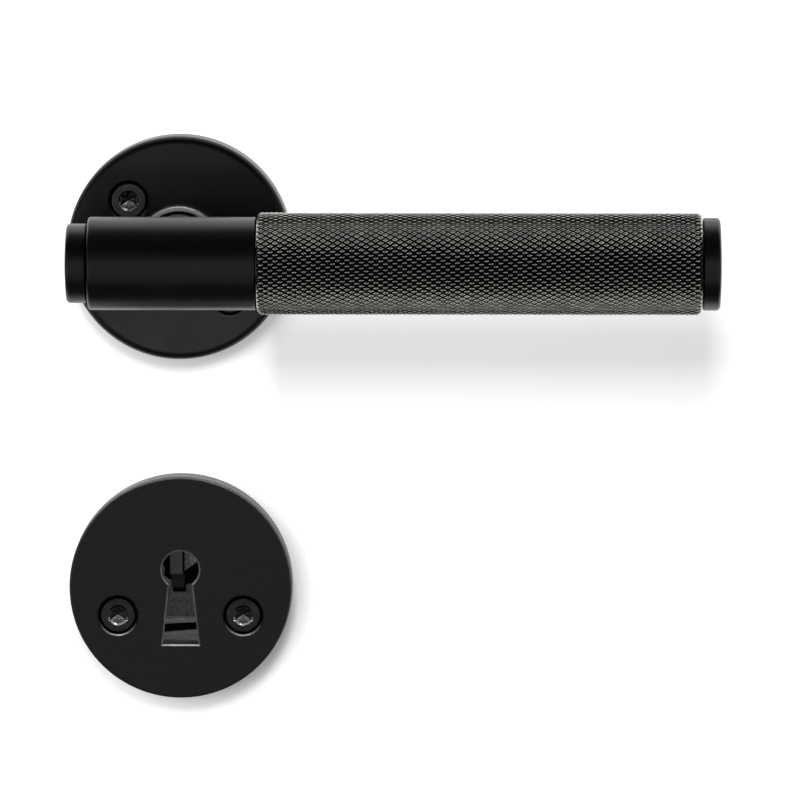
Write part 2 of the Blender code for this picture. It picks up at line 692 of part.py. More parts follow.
forend = block(
    "forend_plate", (FOREND_X[0], -FOREND_Y, FOREND_Z[0]), (FOREND_X[1], FOREND_Y, FOREND_Z[1]), collection=parts,
)
forend_screws = (41.0, -116.0)
cut(
    forend, *gates,
    *[rod(f"forend_way_{n}", (-51, 0, z), (-46, 0, z), 2.3, 16) for n, z in enumerate(forend_screws)],
    *[rod(f"forend_sink_{n}", (-50.2, 0, z), (-47.6, 0, z), 4.5, 20, 2.2) for n, z in enumerate(forend_screws)],
)
coat(forend, "nickel")
for n, z in enumerate(forend_screws):
    name = f"forend_screw_{('upper', 'lower')[n]}"
    screw = turned(
        name, [(0, -26.0), (1.9, -30.0), (1.9, -47.7), (3.85, -49.7), (0, -49.7)], along_x(z=z), 20,
    )
    cut(
        screw,
        block(name + "_drive_a", (-51, -0.45, z - 2.0), (-48.2, 0.45, z + 2.0)),
        block(name + "_drive_b", (-51, -2.0, z - 0.45), (-48.2, 2.0, z + 0.45)),
    )
    coat(screw, "nickel")

# ---------------------------------------------------------------- joint axes

groups = {
    "handle_axis": ((0, 0, 0), handle_parts),
    "latch_slide": ((0, 0, 18.0), [latch]),
    "deadbolt_slide": ((0, 0, -54.0), [deadbolt]),
    "tumbler_axis": ((PIVOT[0], 0, PIVOT[1]), tumblers),
    "flap_axis": ((FLAP[0], -5.6, FLAP[1]), [flap]),
}
for name, (at, members) in groups.items():
    empty = pivot(name, at)
    bpy.context.view_layer.update()
    for member in members:
        placed = member.matrix_world.copy()
        member.parent = empty
        member.matrix_parent_inverse = empty.matrix_world.inverted()
        member.matrix_world = placed

for obj in parts.objects:
    if obj.type == "MESH":
        obj.data.shade_smooth()
        obj.data.set_sharp_from_angle(angle=math.radians(32))

bpy.context.view_layer.update()
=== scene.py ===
"""Looks of the lever handle lockset: finer trim, a real diamond knurl, star drives and
procedural finishes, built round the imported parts.

The row frame is in metres: the origin is on the handle axis in the middle plane of the
door, +X is the way the levers point, +Z is up and -Y is the outside of the door.
"""

import json
import math

import bmesh
import bpy
import numpy as np
from mathutils import Matrix, Vector

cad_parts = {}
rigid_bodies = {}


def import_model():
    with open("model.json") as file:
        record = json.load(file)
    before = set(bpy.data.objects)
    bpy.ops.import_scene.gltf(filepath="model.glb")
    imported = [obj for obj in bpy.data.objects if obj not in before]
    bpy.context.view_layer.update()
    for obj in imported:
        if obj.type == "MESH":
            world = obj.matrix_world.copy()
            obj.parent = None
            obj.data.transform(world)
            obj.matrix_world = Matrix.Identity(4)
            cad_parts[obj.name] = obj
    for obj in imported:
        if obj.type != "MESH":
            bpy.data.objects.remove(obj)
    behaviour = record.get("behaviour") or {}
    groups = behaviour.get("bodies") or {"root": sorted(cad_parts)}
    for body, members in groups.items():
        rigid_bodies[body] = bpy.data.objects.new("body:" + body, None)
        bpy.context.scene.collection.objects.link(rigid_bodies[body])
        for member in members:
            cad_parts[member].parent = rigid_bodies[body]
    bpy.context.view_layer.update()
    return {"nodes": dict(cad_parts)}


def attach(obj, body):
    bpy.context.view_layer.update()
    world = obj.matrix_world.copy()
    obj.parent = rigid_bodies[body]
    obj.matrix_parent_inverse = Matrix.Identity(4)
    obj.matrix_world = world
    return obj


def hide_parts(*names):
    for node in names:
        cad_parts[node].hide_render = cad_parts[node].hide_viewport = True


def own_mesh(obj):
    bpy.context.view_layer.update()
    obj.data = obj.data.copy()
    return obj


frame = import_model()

nodes = frame["nodes"]
MM = 0.001

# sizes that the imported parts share, in millimetres
FACE = 20.0
GAP = 0.3
ROSE_R, ROSE_T, ROSE_WALL, ROSE_PLATE = 26.7, 9.0, 1.6, 1.8
KEY_T, KEY_PLATE, KEY_Z, ESC_Z = 9.0, 2.2, -77.2, -81.7
ROSE_SCREW = (12.0, 11.35)
KEY_SCREW_X, KEY_SCREW_Z = 15.0, -88.3
AXIS_D = 45.0
BARREL_R, BARREL_X = 10.85, (-19.6, 19.5)
GRIP_R, GRIP_X = 11.95, (19.8, 123.2)
END_CAP_R, END_CAP_X = 10.8, (123.5, 127.9)
INNER_CAP_R, INNER_CAP_X = 9.25, (-25.0, -19.9)
NECK_R, COLLAR_R, SOCKET = 8.4, 10.2, 4.3
HEAD_R, HEAD_H, HEAD_TOP, BORE_R, SCREW_R, SLEEVE_R = 4.08, 2.3, 8.5, 4.6, 2.0, 3.0
HOLE_R, SLOT_NECK, SLOT_FOOT, SLOT_LOW = 4.77, 3.02, 4.67, 18.16
DOOR = 40.0
SIDES = {"outside": -1.0, "inside": 1.0}


# ---------------------------------------------------------------- node helpers


class Finish:
    """A node tree built up step by step."""

    def __init__(self, name):
        self.m = bpy.data.materials.new(name)
        self.m.use_nodes = True
        self.tree = self.m.node_tree
        self.bsdf = self.tree.nodes["Principled BSDF"]
        self.co = self.add("ShaderNodeTexCoord").outputs["Object"]

    def add(self, kind, **settings):
        node = self.tree.nodes.new(kind)
        for key, value in settings.items():
            setattr(node, key, value)
        return node

    def link(self, a, b):
        self.tree.links.new(a, b)

    def feed(self, socket, value):
        if isinstance(value, bpy.types.NodeSocket):
            self.link(value, socket)
        else:
            socket.default_value = value

    def noise(self, scale, detail=2.0, rough=0.5, at=None, distortion=0.0):
        n = self.add("ShaderNodeTexNoise")
        n.inputs["Scale"].default_value = scale
        n.inputs["Detail"].default_value = detail
        n.inputs["Roughness"].default_value = rough
        n.inputs["Distortion"].default_value = distortion
        self.link(at or self.co, n.inputs["Vector"])
        return n.outputs["Fac"]

    def stretch(self, scale, at=None, turn=(0, 0, 0)):
        n = self.add("ShaderNodeMapping")
        n.inputs["Scale"].default_value = scale
        n.inputs["Rotation"].default_value = turn
        self.link(at or self.co, n.inputs["Vector"])
        return n.outputs["Vector"]

    def ramp(self, value, low, high, to_low=0.0, to_high=1.0):
        n = self.add("ShaderNodeMapRange")
        n.clamp = True
        for key, v in (("From Min", low), ("From Max", high), ("To Min", to_low), ("To Max", to_high)):
            n.inputs[key].default_value = v
        self.link(value, n.inputs["Value"])
        return n.outputs["Result"]

    def math(self, operation, a, b=0.0):
        n = self.add("ShaderNodeMath", operation=operation)
        self.feed(n.inputs[0], a)
        self.feed(n.inputs[1], b)
        return n.outputs[0]

    def mix(self, fac, a, b):
        n = self.add("ShaderNodeMix", data_type="RGBA")
        self.feed(n.inputs[0], fac)
        self.feed(n.inputs[6], (*a, 1.0) if isinstance(a, tuple) else a)
        self.feed(n.inputs[7], (*b, 1.0) if isinstance(b, tuple) else b)
        return n.outputs[2]

    def bump(self, height, distance, strength=1.0, after=None):
        n = self.add("ShaderNodeBump")
        n.inputs["Strength"].default_value = strength
        n.inputs["Distance"].default_value = distance
        self.link(height, n.inputs["Height"])
        if after is not None:
            self.link(after, n.inputs["Normal"])
        return n.outputs["Normal"]

    def done(self, colour, roughness, metallic=0.0, normal=None, specular=None, coat=None):
        i = self.bsdf.inputs
        self.feed(i["Base Color"], (*colour, 1.0) if isinstance(colour, tuple) else colour)
        self.feed(i["Roughness"], roughness)
        self.feed(i["Metallic"], metallic)
        if normal is not None:
            self.link(normal, i["Normal"])
        if specular is not None:
            i["Specular IOR Level"].default_value = specular
        if coat is not None:
            i["Coat Weight"].default_value = coat[0]
            i["Coat Roughness"].default_value = coat[1]
        return self.m


def radial(f, x=0.0, z=0.0):
    """Distance from an axis along Y through (x, z), in metres."""
    sep = f.add("ShaderNodeSeparateXYZ")
    f.link(f.co, sep.inputs[0])
    dx = f.math("SUBTRACT", sep.outputs[0], x * MM)
    dz = f.math("SUBTRACT", sep.outputs[2], z * MM)
    return f.math("SQRT", f.math("ADD", f.math("MULTIPLY", dx, dx), f.math("MULTIPLY", dz, dz)))


# ---------------------------------------------------------------- finishes


def satin_black(name="satin_black", grain=1.0, orange=0.0, rough=0.36, colour=(0.0042, 0.0042, 0.0040), gloss=0.5):
    """Black powder coat: a fine grain, and for flat faces a slow orange peel under it."""
    f = Finish(name)
    fine = f.noise(5200.0, 2.0, 0.6)
    speck = f.noise(2300.0, 3.0, 0.65)
    cloud = f.noise(70.0, 2.0, 0.5)
    roughness = f.math(
        "ADD", f.ramp(speck, 0.3, 0.7, rough - 0.03, rough + 0.05), f.ramp(cloud, 0.35, 0.65, -0.02, 0.02)
    )
    normal = f.bump(fine, 0.0000035 * grain, 0.8)
    normal = f.bump(speck, 0.000008 * grain, 0.7, normal)
    if orange:
        peel = f.noise(760.0, 1.5, 0.5, distortion=0.3)
        normal = f.bump(peel, 0.00020 * orange, 1.0, normal)
    tone = f.mix(f.ramp(speck, 0.35, 0.7), colour, tuple(c * 1.5 for c in colour))
    return f.done(tone, roughness, 0.0, normal, gloss)


def knurled_black():
    """Blackened metal: the grooves are painted near-black as shade, the crests keep a lighter metal tone and are
    worn brighter in patches.
    """
    f = Finish("knurled_black")
    crest = f.add("ShaderNodeAttribute", attribute_name="crest").outputs["Fac"]
    wear = f.noise(260.0, 3.0, 0.6)
    scratch = f.noise(4200.0, 2.0, 0.6)
    # painted shade: the low end of this ramp paints the grooves near-black
    up = f.ramp(crest, 0.44, 0.84)
    tone = f.mix(up, (0.018, 0.018, 0.017), (0.50, 0.505, 0.472))
    tone = f.mix(f.math("MULTIPLY", up, f.ramp(wear, 0.42, 0.68, 0.0, 0.55)), tone, (0.72, 0.72, 0.67))
    roughness = f.math("ADD", f.ramp(crest, 0.0, 0.6, 0.26, 0.15), f.ramp(scratch, 0.3, 0.7, -0.03, 0.04))
    normal = f.bump(scratch, 0.000006, 0.6)
    return f.done(tone, roughness, f.ramp(crest, 0.1, 0.6, 0.7, 1.0), normal, 0.5)


def satin_collar():
    f = Finish("satin_collar")
    r = radial(f)
    rings = f.add("ShaderNodeTexNoise", noise_dimensions="1D")
    rings.inputs["Scale"].default_value = 9000.0
    rings.inputs["Detail"].default_value = 3.0
    f.link(r, rings.inputs["W"])
    grain = f.noise(3800.0, 2.0)
    normal = f.bump(rings.outputs["Fac"], 0.000006, 0.7)
    normal = f.bump(grain, 0.000003, 0.6, normal)
    tone = f.mix(f.ramp(grain, 0.3, 0.7), (0.42, 0.425, 0.44), (0.52, 0.525, 0.54))
    return f.done(tone, f.ramp(grain, 0.3, 0.7, 0.30, 0.40), 0.85, normal)


def black_steel(name="black_steel", x=0.0, z=0.0, turned=True, tint=1.0):
    """Black-oxide steel with fine turning marks round its own axis."""
    f = Finish(name)
    grain = f.noise(3600.0, 3.0, 0.6)
    stain = f.noise(420.0, 2.0, 0.5)
    tone = f.mix(f.ramp(stain, 0.35, 0.7), (0.088 * tint, 0.089 * tint, 0.092 * tint), (0.135 * tint, 0.136 * tint, 0.138 * tint))
    normal = f.bump(grain, 0.000006, 0.7)
    if turned:
        rings = f.add("ShaderNodeTexNoise", noise_dimensions="1D")
        rings.inputs["Scale"].default_value = 7000.0
        rings.inputs["Detail"].default_value = 2.0
        f.link(radial(f, x, z), rings.inputs["W"])
        normal = f.bump(rings.outputs["Fac"], 0.000005, 0.6, normal)
    return f.done(tone, f.ramp(grain, 0.3, 0.7, 0.33, 0.47), 0.85, normal)


def zinc_steel(name="zinc_steel", tint=(1.0, 1.0, 1.0), coarse=1.0):
    """Zinc-plated sheet: faint spangle, rolling grain and small rubs."""
    f = Finish(name)
    spangle = f.add("ShaderNodeTexVoronoi")
    spangle.inputs["Scale"].default_value = 240.0
    f.link(f.co, spangle.inputs["Vector"])
    cell = f.add("ShaderNodeSeparateColor")
    f.link(spangle.outputs["Color"], cell.inputs[0])
    grain = f.noise(1.0, 3.0, 0.6, at=f.stretch((900.0, 900.0, 5200.0)))
    rub = f.noise(95.0, 4.0, 0.65)
    low = tuple(a * b for a, b in zip((0.40, 0.41, 0.41), tint))
    high = tuple(a * b for a, b in zip((0.56, 0.565, 0.56), tint))
    tone = f.mix(f.ramp(cell.outputs[0], 0.0, 1.0, 0.25, 0.75), low, high)
    tone = f.mix(f.ramp(rub, 0.52, 0.72, 0.0, 0.45), tone, (0.30, 0.30, 0.29))
    roughness = f.math("ADD", f.ramp(rub, 0.3, 0.7, 0.28, 0.44), f.ramp(cell.outputs[1], 0.0, 1.0, -0.04, 0.04))
    normal = f.bump(grain, 0.000010 * coarse, 0.7)
    return f.done(tone, roughness, 1.0, normal)


def cast_steel():
    """Blasted steel of the ward plate: a coarse, sandy skin."""
    f = Finish("ward_steel")
    sand = f.noise(1900.0, 4.0, 0.7)
    pits = f.noise(620.0, 3.0, 0.6)
    sep = f.add("ShaderNodeSeparateXYZ")
    f.link(f.co, sep.inputs[0])
    # the foot of the plate and the edges of the notch are painted bright: painted light where light falls in through
    # the keyhole; the foot also carries brushed streaks
    foot = f.ramp(sep.outputs[2], -0.0925, -0.0935)
    notch = f.ramp(sep.outputs[2], -0.0862, -0.0828)
    streak = f.noise(1.0, 3.0, 0.65, at=f.stretch((260.0, 900.0, 4200.0), turn=(0, 0.12, 0)))
    tone = f.mix(f.ramp(sand, 0.35, 0.7), (0.16, 0.16, 0.16), (0.42, 0.42, 0.415))
    tone = f.mix(f.ramp(pits, 0.58, 0.7, 0.0, 0.6), tone, (0.08, 0.08, 0.08))
    tone = f.mix(f.math("MULTIPLY", notch, f.ramp(sand, 0.4, 0.6)), tone, (0.80, 0.80, 0.79))
    tone = f.mix(foot, tone, f.mix(f.ramp(streak, 0.38, 0.62), (0.62, 0.62, 0.62), (1.0, 1.0, 0.99)))
    normal = f.bump(sand, 0.00003, 0.8)
    normal = f.bump(pits, 0.00005, 0.6, normal)
    return f.done(tone, f.ramp(sand, 0.3, 0.7, 0.38, 0.55), 0.8, normal)


def flap_steel():
    """Black-oxide sheet whose set-back tip is painted darker as shade."""
    f = Finish("flap_steel")
    sep = f.add("ShaderNodeSeparateXYZ")
    f.link(f.co, sep.inputs[0])
    grain = f.noise(3600.0, 3.0, 0.6)
    # painted shade: the set-back tip is darkened
    set_back_shade = f.ramp(sep.outputs[1], -0.0050, -0.0044)
    tone = f.mix(f.ramp(grain, 0.35, 0.7), (0.15, 0.15, 0.152), (0.21, 0.21, 0.212))
    tone = f.mix(set_back_shade, tone, (0.045, 0.045, 0.045))
    return f.done(tone, f.ramp(grain, 0.3, 0.7, 0.42, 0.52), 0.7, f.bump(grain, 0.000006, 0.7))


def spring_steel():
    f = Finish("spring_steel")
    grain = f.noise(2600.0, 2.0)
    tone = f.mix(f.ramp(grain, 0.3, 0.7), (0.30, 0.29, 0.28), (0.44, 0.43, 0.41))
    return f.done(tone, f.ramp(grain, 0.3, 0.7, 0.22, 0.34), 1.0, f.bump(grain, 0.000004, 0.6))


def brass():
    f = Finish("brass")
    grain = f.noise(1.0, 3.0, 0.6, at=f.stretch((700.0, 4000.0, 4000.0)))
    stain = f.noise(140.0, 3.0, 0.6)
    tone = f.mix(f.ramp(stain, 0.35, 0.7), (0.66, 0.48, 0.20), (0.50, 0.34, 0.13))
    return f.done(tone, f.ramp(grain, 0.3, 0.7, 0.24, 0.40), 1.0, f.bump(grain, 0.000008, 0.7))


def grey_zamak():
    """Die-cast zinc alloy: matt skin with a faint flow pattern, and near-black painted shade on rings round the
    screw seats.
    """
    f = Finish("grey_zamak")
    skin = f.noise(1500.0, 3.0, 0.6)
    flow = f.noise(120.0, 3.0, 0.6, distortion=1.5)
    tone = f.mix(f.ramp(flow, 0.35, 0.7), (0.30, 0.305, 0.315), (0.40, 0.405, 0.41))
    # painted shade: near-black rings round the screw seats, where the gap round each screw head lies in shade
    seats = None
    for x, z in ((-ROSE_SCREW[0], ROSE_SCREW[1]), (ROSE_SCREW[0], -ROSE_SCREW[1]), (-KEY_SCREW_X, KEY_SCREW_Z), (KEY_SCREW_X, KEY_SCREW_Z)):
        distance = radial(f, x, z)
        seats = distance if seats is None else f.math("MINIMUM", seats, distance)
    tone = f.mix(f.ramp(seats, 0.0056, 0.0060), (0.002, 0.002, 0.002), tone)
    return f.done(tone, f.ramp(skin, 0.3, 0.7, 0.42, 0.56), 0.8, f.bump(skin, 0.000016, 0.7))


def bare_edge():
    """Grey satin line painted on the slanted faces round the openings: a painted highlight along the chamfer."""
    f = Finish("keyhole_edge_highlight")
    grain = f.noise(3000.0, 3.0, 0.6)
    rub = f.noise(420.0, 3.0, 0.6)
    tone = f.mix(f.ramp(rub, 0.35, 0.7), (0.30, 0.30, 0.30), (0.46, 0.46, 0.455))
    return f.done(tone, f.ramp(grain, 0.3, 0.7, 0.40, 0.52), 0.35, f.bump(grain, 0.000006, 0.6))


def rolled_edge():
    """Paint rolled over the rim of a screw hole; its upward-facing faces, on the lower side of the hole, get a
    painted highlight.
    """
    f = Finish("screw_rim_highlight")
    facing = f.add("ShaderNodeTexCoord").outputs["Normal"]
    sep = f.add("ShaderNodeSeparateXYZ")
    f.link(facing, sep.inputs[0])
    # painted highlight: faces turned upwards are painted light grey, those turned down stay black
    low_side = f.ramp(sep.outputs[2], 0.30, 0.62)
    tone = f.mix(low_side, (0.0045, 0.0045, 0.0045), (0.32, 0.32, 0.315))
    return f.done(tone, 0.44, f.math("MULTIPLY", low_side, 0.5), None, 0.30)


def recess_glint_and_shade():
    """Steel inside the recess of a screw, painted bright on faces turned upwards as a glint and near-black elsewhere
    as shade.
    """
    f = Finish("recess_glint_and_shade")
    grain = f.noise(2600.0, 3.0, 0.6)
    facing = f.add("ShaderNodeTexCoord").outputs["Normal"]
    sep = f.add("ShaderNodeSeparateXYZ")
    f.link(facing, sep.inputs[0])
    # painted glint on upward faces and painted shade on the rest
    up = f.ramp(sep.outputs[2], 0.08, 0.38)
    tone = f.mix(up, (0.016, 0.016, 0.016), (0.90, 0.90, 0.89))
    return f.done(tone, f.ramp(grain, 0.3, 0.7, 0.26, 0.34), 0.80, f.bump(grain, 0.000003, 0.5))


def nickel():
    """Satin nickel, brushed along its length."""
    f = Finish("nickel")
    brush = f.noise(1.0, 3.0, 0.6, at=f.stretch((5200.0, 5200.0, 160.0)))
    smear = f.noise(60.0, 3.0, 0.6)
    tone = f.mix(f.ramp(brush, 0.3, 0.7), (0.52, 0.50, 0.465), (0.64, 0.62, 0.58))
    roughness = f.math("ADD", f.ramp(brush, 0.3, 0.7, 0.20, 0.34), f.ramp(smear, 0.35, 0.65, -0.03, 0.05))
    return f.done(tone, roughness, 1.0, f.bump(brush, 0.000005, 0.7))


FINISH = {
    "satin_black": satin_black("satin_black"),
    "satin_black_face": satin_black("satin_black_face", 1.0, 0.0, 0.36, gloss=0.30),
    "satin_black_key": satin_black("satin_black_key", 1.3, 1.0, 0.40, (0.0052, 0.0052, 0.0052)),
    "knurled_black": knurled_black(),
    "satin_collar": satin_collar(),
    "black_steel": black_steel("black_steel", turned=False),
    "zinc_steel": zinc_steel(),
    "ward_steel": cast_steel(),
    "spring_steel": spring_steel(),
    "flap_steel": flap_steel(),
    "brass": brass(),
    "grey_zamak": grey_zamak(),
    "nickel": nickel(),
    "keyhole_edge_highlight": bare_edge(),
    "screw_rim_highlight": rolled_edge(),
    "recess_glint_and_shade": recess_glint_and_shade(),
}


# ---------------------------------------------------------------- mesh helpers

made = bpy.data.collections.new("fine")
tools = bpy.data.collections.new("cutters")
bpy.context.scene.collection.children.link(made)
bpy.context.scene.collection.children.link(tools)


def mesh_object(name, verts, faces, collection=made):
    mesh = bpy.data.meshes.new(name)
    mesh.from_pydata([tuple(v) for v in verts], [], faces)
    mesh.update()
    bm = bmesh.new()
    bm.from_mesh(mesh)
    bmesh.ops.recalc_face_normals(bm, faces=bm.faces)
    bm.to_mesh(mesh)
    bm.free()
    obj = bpy.data.objects.new(name, mesh)
    collection.objects.link(obj)
    if collection is tools:
        obj.hide_render = True
        obj.hide_viewport = False
    return obj


def arc(centre, radius, start, end, steps):
    """Points round a fillet, angles in degrees, (radius, height)."""
    return [
        (centre[0] + radius * math.cos(math.radians(start + (end - start) * i / steps)),
         centre[1] + radius * math.sin(math.radians(start + (end - start) * i / steps)))
        for i in range(steps + 1)
    ]


def lathe(name, profile, matrix, segments=128, collection=made):
    """Turns a (radius, height) profile in millimetres round local Z."""
    verts, faces, rings = [], [], []
    angles = [math.tau * i / segments for i in range(segments)]
    for r, h in profile:
        if r < 1e-9:
            rings.append([len(verts)])
            verts.append(matrix @ Vector((0.0, 0.0, h * MM)))
        else:
            rings.append(list(range(len(verts), len(verts) + segments)))
            verts += [matrix @ Vector((r * math.cos(a) * MM, r * math.sin(a) * MM, h * MM)) for a in angles]
    pairs = list(zip(rings, rings[1:]))
    if profile[0][0] > 1e-9:
        pairs.append((rings[-1], rings[0]))
    for a, b in pairs:
        for i in range(segments):
            j = (i + 1) % segments
            if len(a) == 1:
                faces.append((a[0], b[i], b[j]))
            elif len(b) == 1:
                faces.append((a[i], b[0], a[j]))
            else:
                faces.append((a[i], b[i], b[j], a[j]))
    return mesh_object(name, verts, faces, collection)


def loft(name, outlines, collection=tools):
    """Closed solid through outlines of equal length; each is a list of points in metres."""
    count = len(outlines[0])
    verts = [v for outline in outlines for v in outline]
    faces = [tuple(range(count))[::-1], tuple(range((len(outlines) - 1) * count, len(outlines) * count))]
    for k in range(len(outlines) - 1):
        for i in range(count):
            j = (i + 1) % count
            faces.append((k * count + i, k * count + j, (k + 1) * count + j, (k + 1) * count + i))
    return mesh_object(name, verts, faces, collection)


def outward(side, x=0.0, z=0.0):
    s = SIDES[side]
    return Matrix.Translation((x * MM, s * FACE * MM, z * MM)) @ Matrix.Rotation(-s * math.pi / 2, 4, "X")


def along_x(y=0.0, z=0.0):
    return Matrix.Translation((0.0, y * MM, z * MM)) @ Matrix.Rotation(math.pi / 2, 4, "Y")


def along_y(x=0.0, z=0.0):
    return Matrix.Translation((x * MM, 0.0, z * MM)) @ Matrix.Rotation(-math.pi / 2, 4, "X")


def box(name, low, high):
    (x0, y0, z0), (x1, y1, z1) = [[c * MM for c in p] for p in (low, high)]
    verts = [(x0, y0, z0), (x1, y0, z0), (x1, y1, z0), (x0, y1, z0), (x0, y0, z1), (x1, y0, z1), (x1, y1, z1), (x0, y1, z1)]
    faces = [(0, 3, 2, 1), (4, 5, 6, 7), (0, 1, 5, 4), (1, 2, 6, 5), (2, 3, 7, 6), (3, 0, 4, 7)]
    return mesh_object(name, verts, faces, tools)


def bake(obj):
    bpy.context.view_layer.update()
    graph = bpy.context.evaluated_depsgraph_get()
    mesh = bpy.data.meshes.new_from_object(obj.evaluated_get(graph))
    obj.modifiers.clear()
    old = obj.data
    obj.data = mesh
    bpy.data.meshes.remove(old)
    bm = bmesh.new()
    bm.from_mesh(mesh)
    bmesh.ops.remove_doubles(bm, verts=bm.verts, dist=1.5e-6)
    bmesh.ops.dissolve_degenerate(bm, edges=bm.edges, dist=1e-6)
    bm.to_mesh(mesh)
    bm.free()
    return obj


def combine(obj, others, operation):
    for other in others:
        m = obj.modifiers.new(other.name, "BOOLEAN")
        m.operation = operation
        m.solver = "EXACT"
        m.object = other
    bake(obj)
    for other in others:
        bpy.data.objects.remove(other, do_unlink=True)
    return obj


def cut(obj, *others):
    return combine(obj, others, "DIFFERENCE")


def join(obj, *others):
    return combine(obj, others, "UNION")


def smooth(obj, angle=30.0, weighted=True):
    obj.data.shade_smooth()
    obj.data.set_sharp_from_angle(angle=math.radians(angle))
    if weighted:
        m = obj.modifiers.new("even_normals", "WEIGHTED_NORMAL")
        m.mode = "FACE_AREA"
        m.weight = 100
        m.keep_sharp = True
    return obj


def finish(obj, look, body, slot, *replaced):
    obj.data.materials.clear()
    obj.data.materials.append(FINISH[look])
    for polygon in obj.data.polygons:
        polygon.material_index = 0
    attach(obj, body)
    if replaced:
        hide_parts(*replaced)
    return obj


def edge_line(obj, looks):
    """Gives the small slanted faces round the openings their own finish. Each look holds the
    centre (x, z) and the reach of the faces that it covers."""
    for index, (look, places) in enumerate(looks, 1):
        obj.data.materials.append(FINISH[look])
        for polygon in obj.data.polygons:
            p = polygon.center
            if 0.15 < abs(polygon.normal.y) < 0.985 and any(
                math.hypot(p.x - x * MM, p.z - z * MM) < reach * MM for x, z, reach in places
            ):
                polygon.material_index = index


def keyhole_outline(y, grow, count=72):
    """Outline of the keyhole at a depth, in metres: a round over a slot that widens downwards."""
    radius, half = HOLE_R + grow, SLOT_NECK + grow
    start = -math.acos(half / radius)
    sweep = math.pi - 2 * start
    points = [
        (radius * math.cos(start + sweep * i / count), KEY_Z + radius * math.sin(start + sweep * i / count))
        for i in range(count + 1)
    ]
    low = KEY_Z - SLOT_LOW - 0.28 - grow
    points += [(-SLOT_FOOT - grow, low), (SLOT_FOOT + grow, low)]
    return [(x * MM, y * MM, z * MM) for x, z in points]


def star_outline(side, x, z, height, scale, count=96):
    """Six-pointed recess with hollow sides, at a height above the door face."""
    m = outward(side, x, z)
    out = []
    for i in range(count):
        a = math.tau * i / count
        lobe = 1.0 - abs(math.sin(3 * a))
        r = (1.72 + 0.72 * lobe) * scale
        out.append(tuple(m @ Vector((r * math.cos(a + math.pi / 2) * MM, r * math.sin(a + math.pi / 2) * MM, height * MM))))
    return out


# ---------------------------------------------------------------- knurl

PITCH_A, PITCH_B = 2.454, 2.035   # each family of grooves along the grip
AXIAL = 2.0 / (1.0 / PITCH_A + 1.0 / PITCH_B)
STARTS = 51           # diamonds round the grip
TWIST = math.tau / STARTS * 0.5 * (1.0 / PITCH_A - 1.0 / PITCH_B)   # turn of the lattice per millimetre
DEPTH = 0.62
FINE = 6              # cells along each side of a diamond


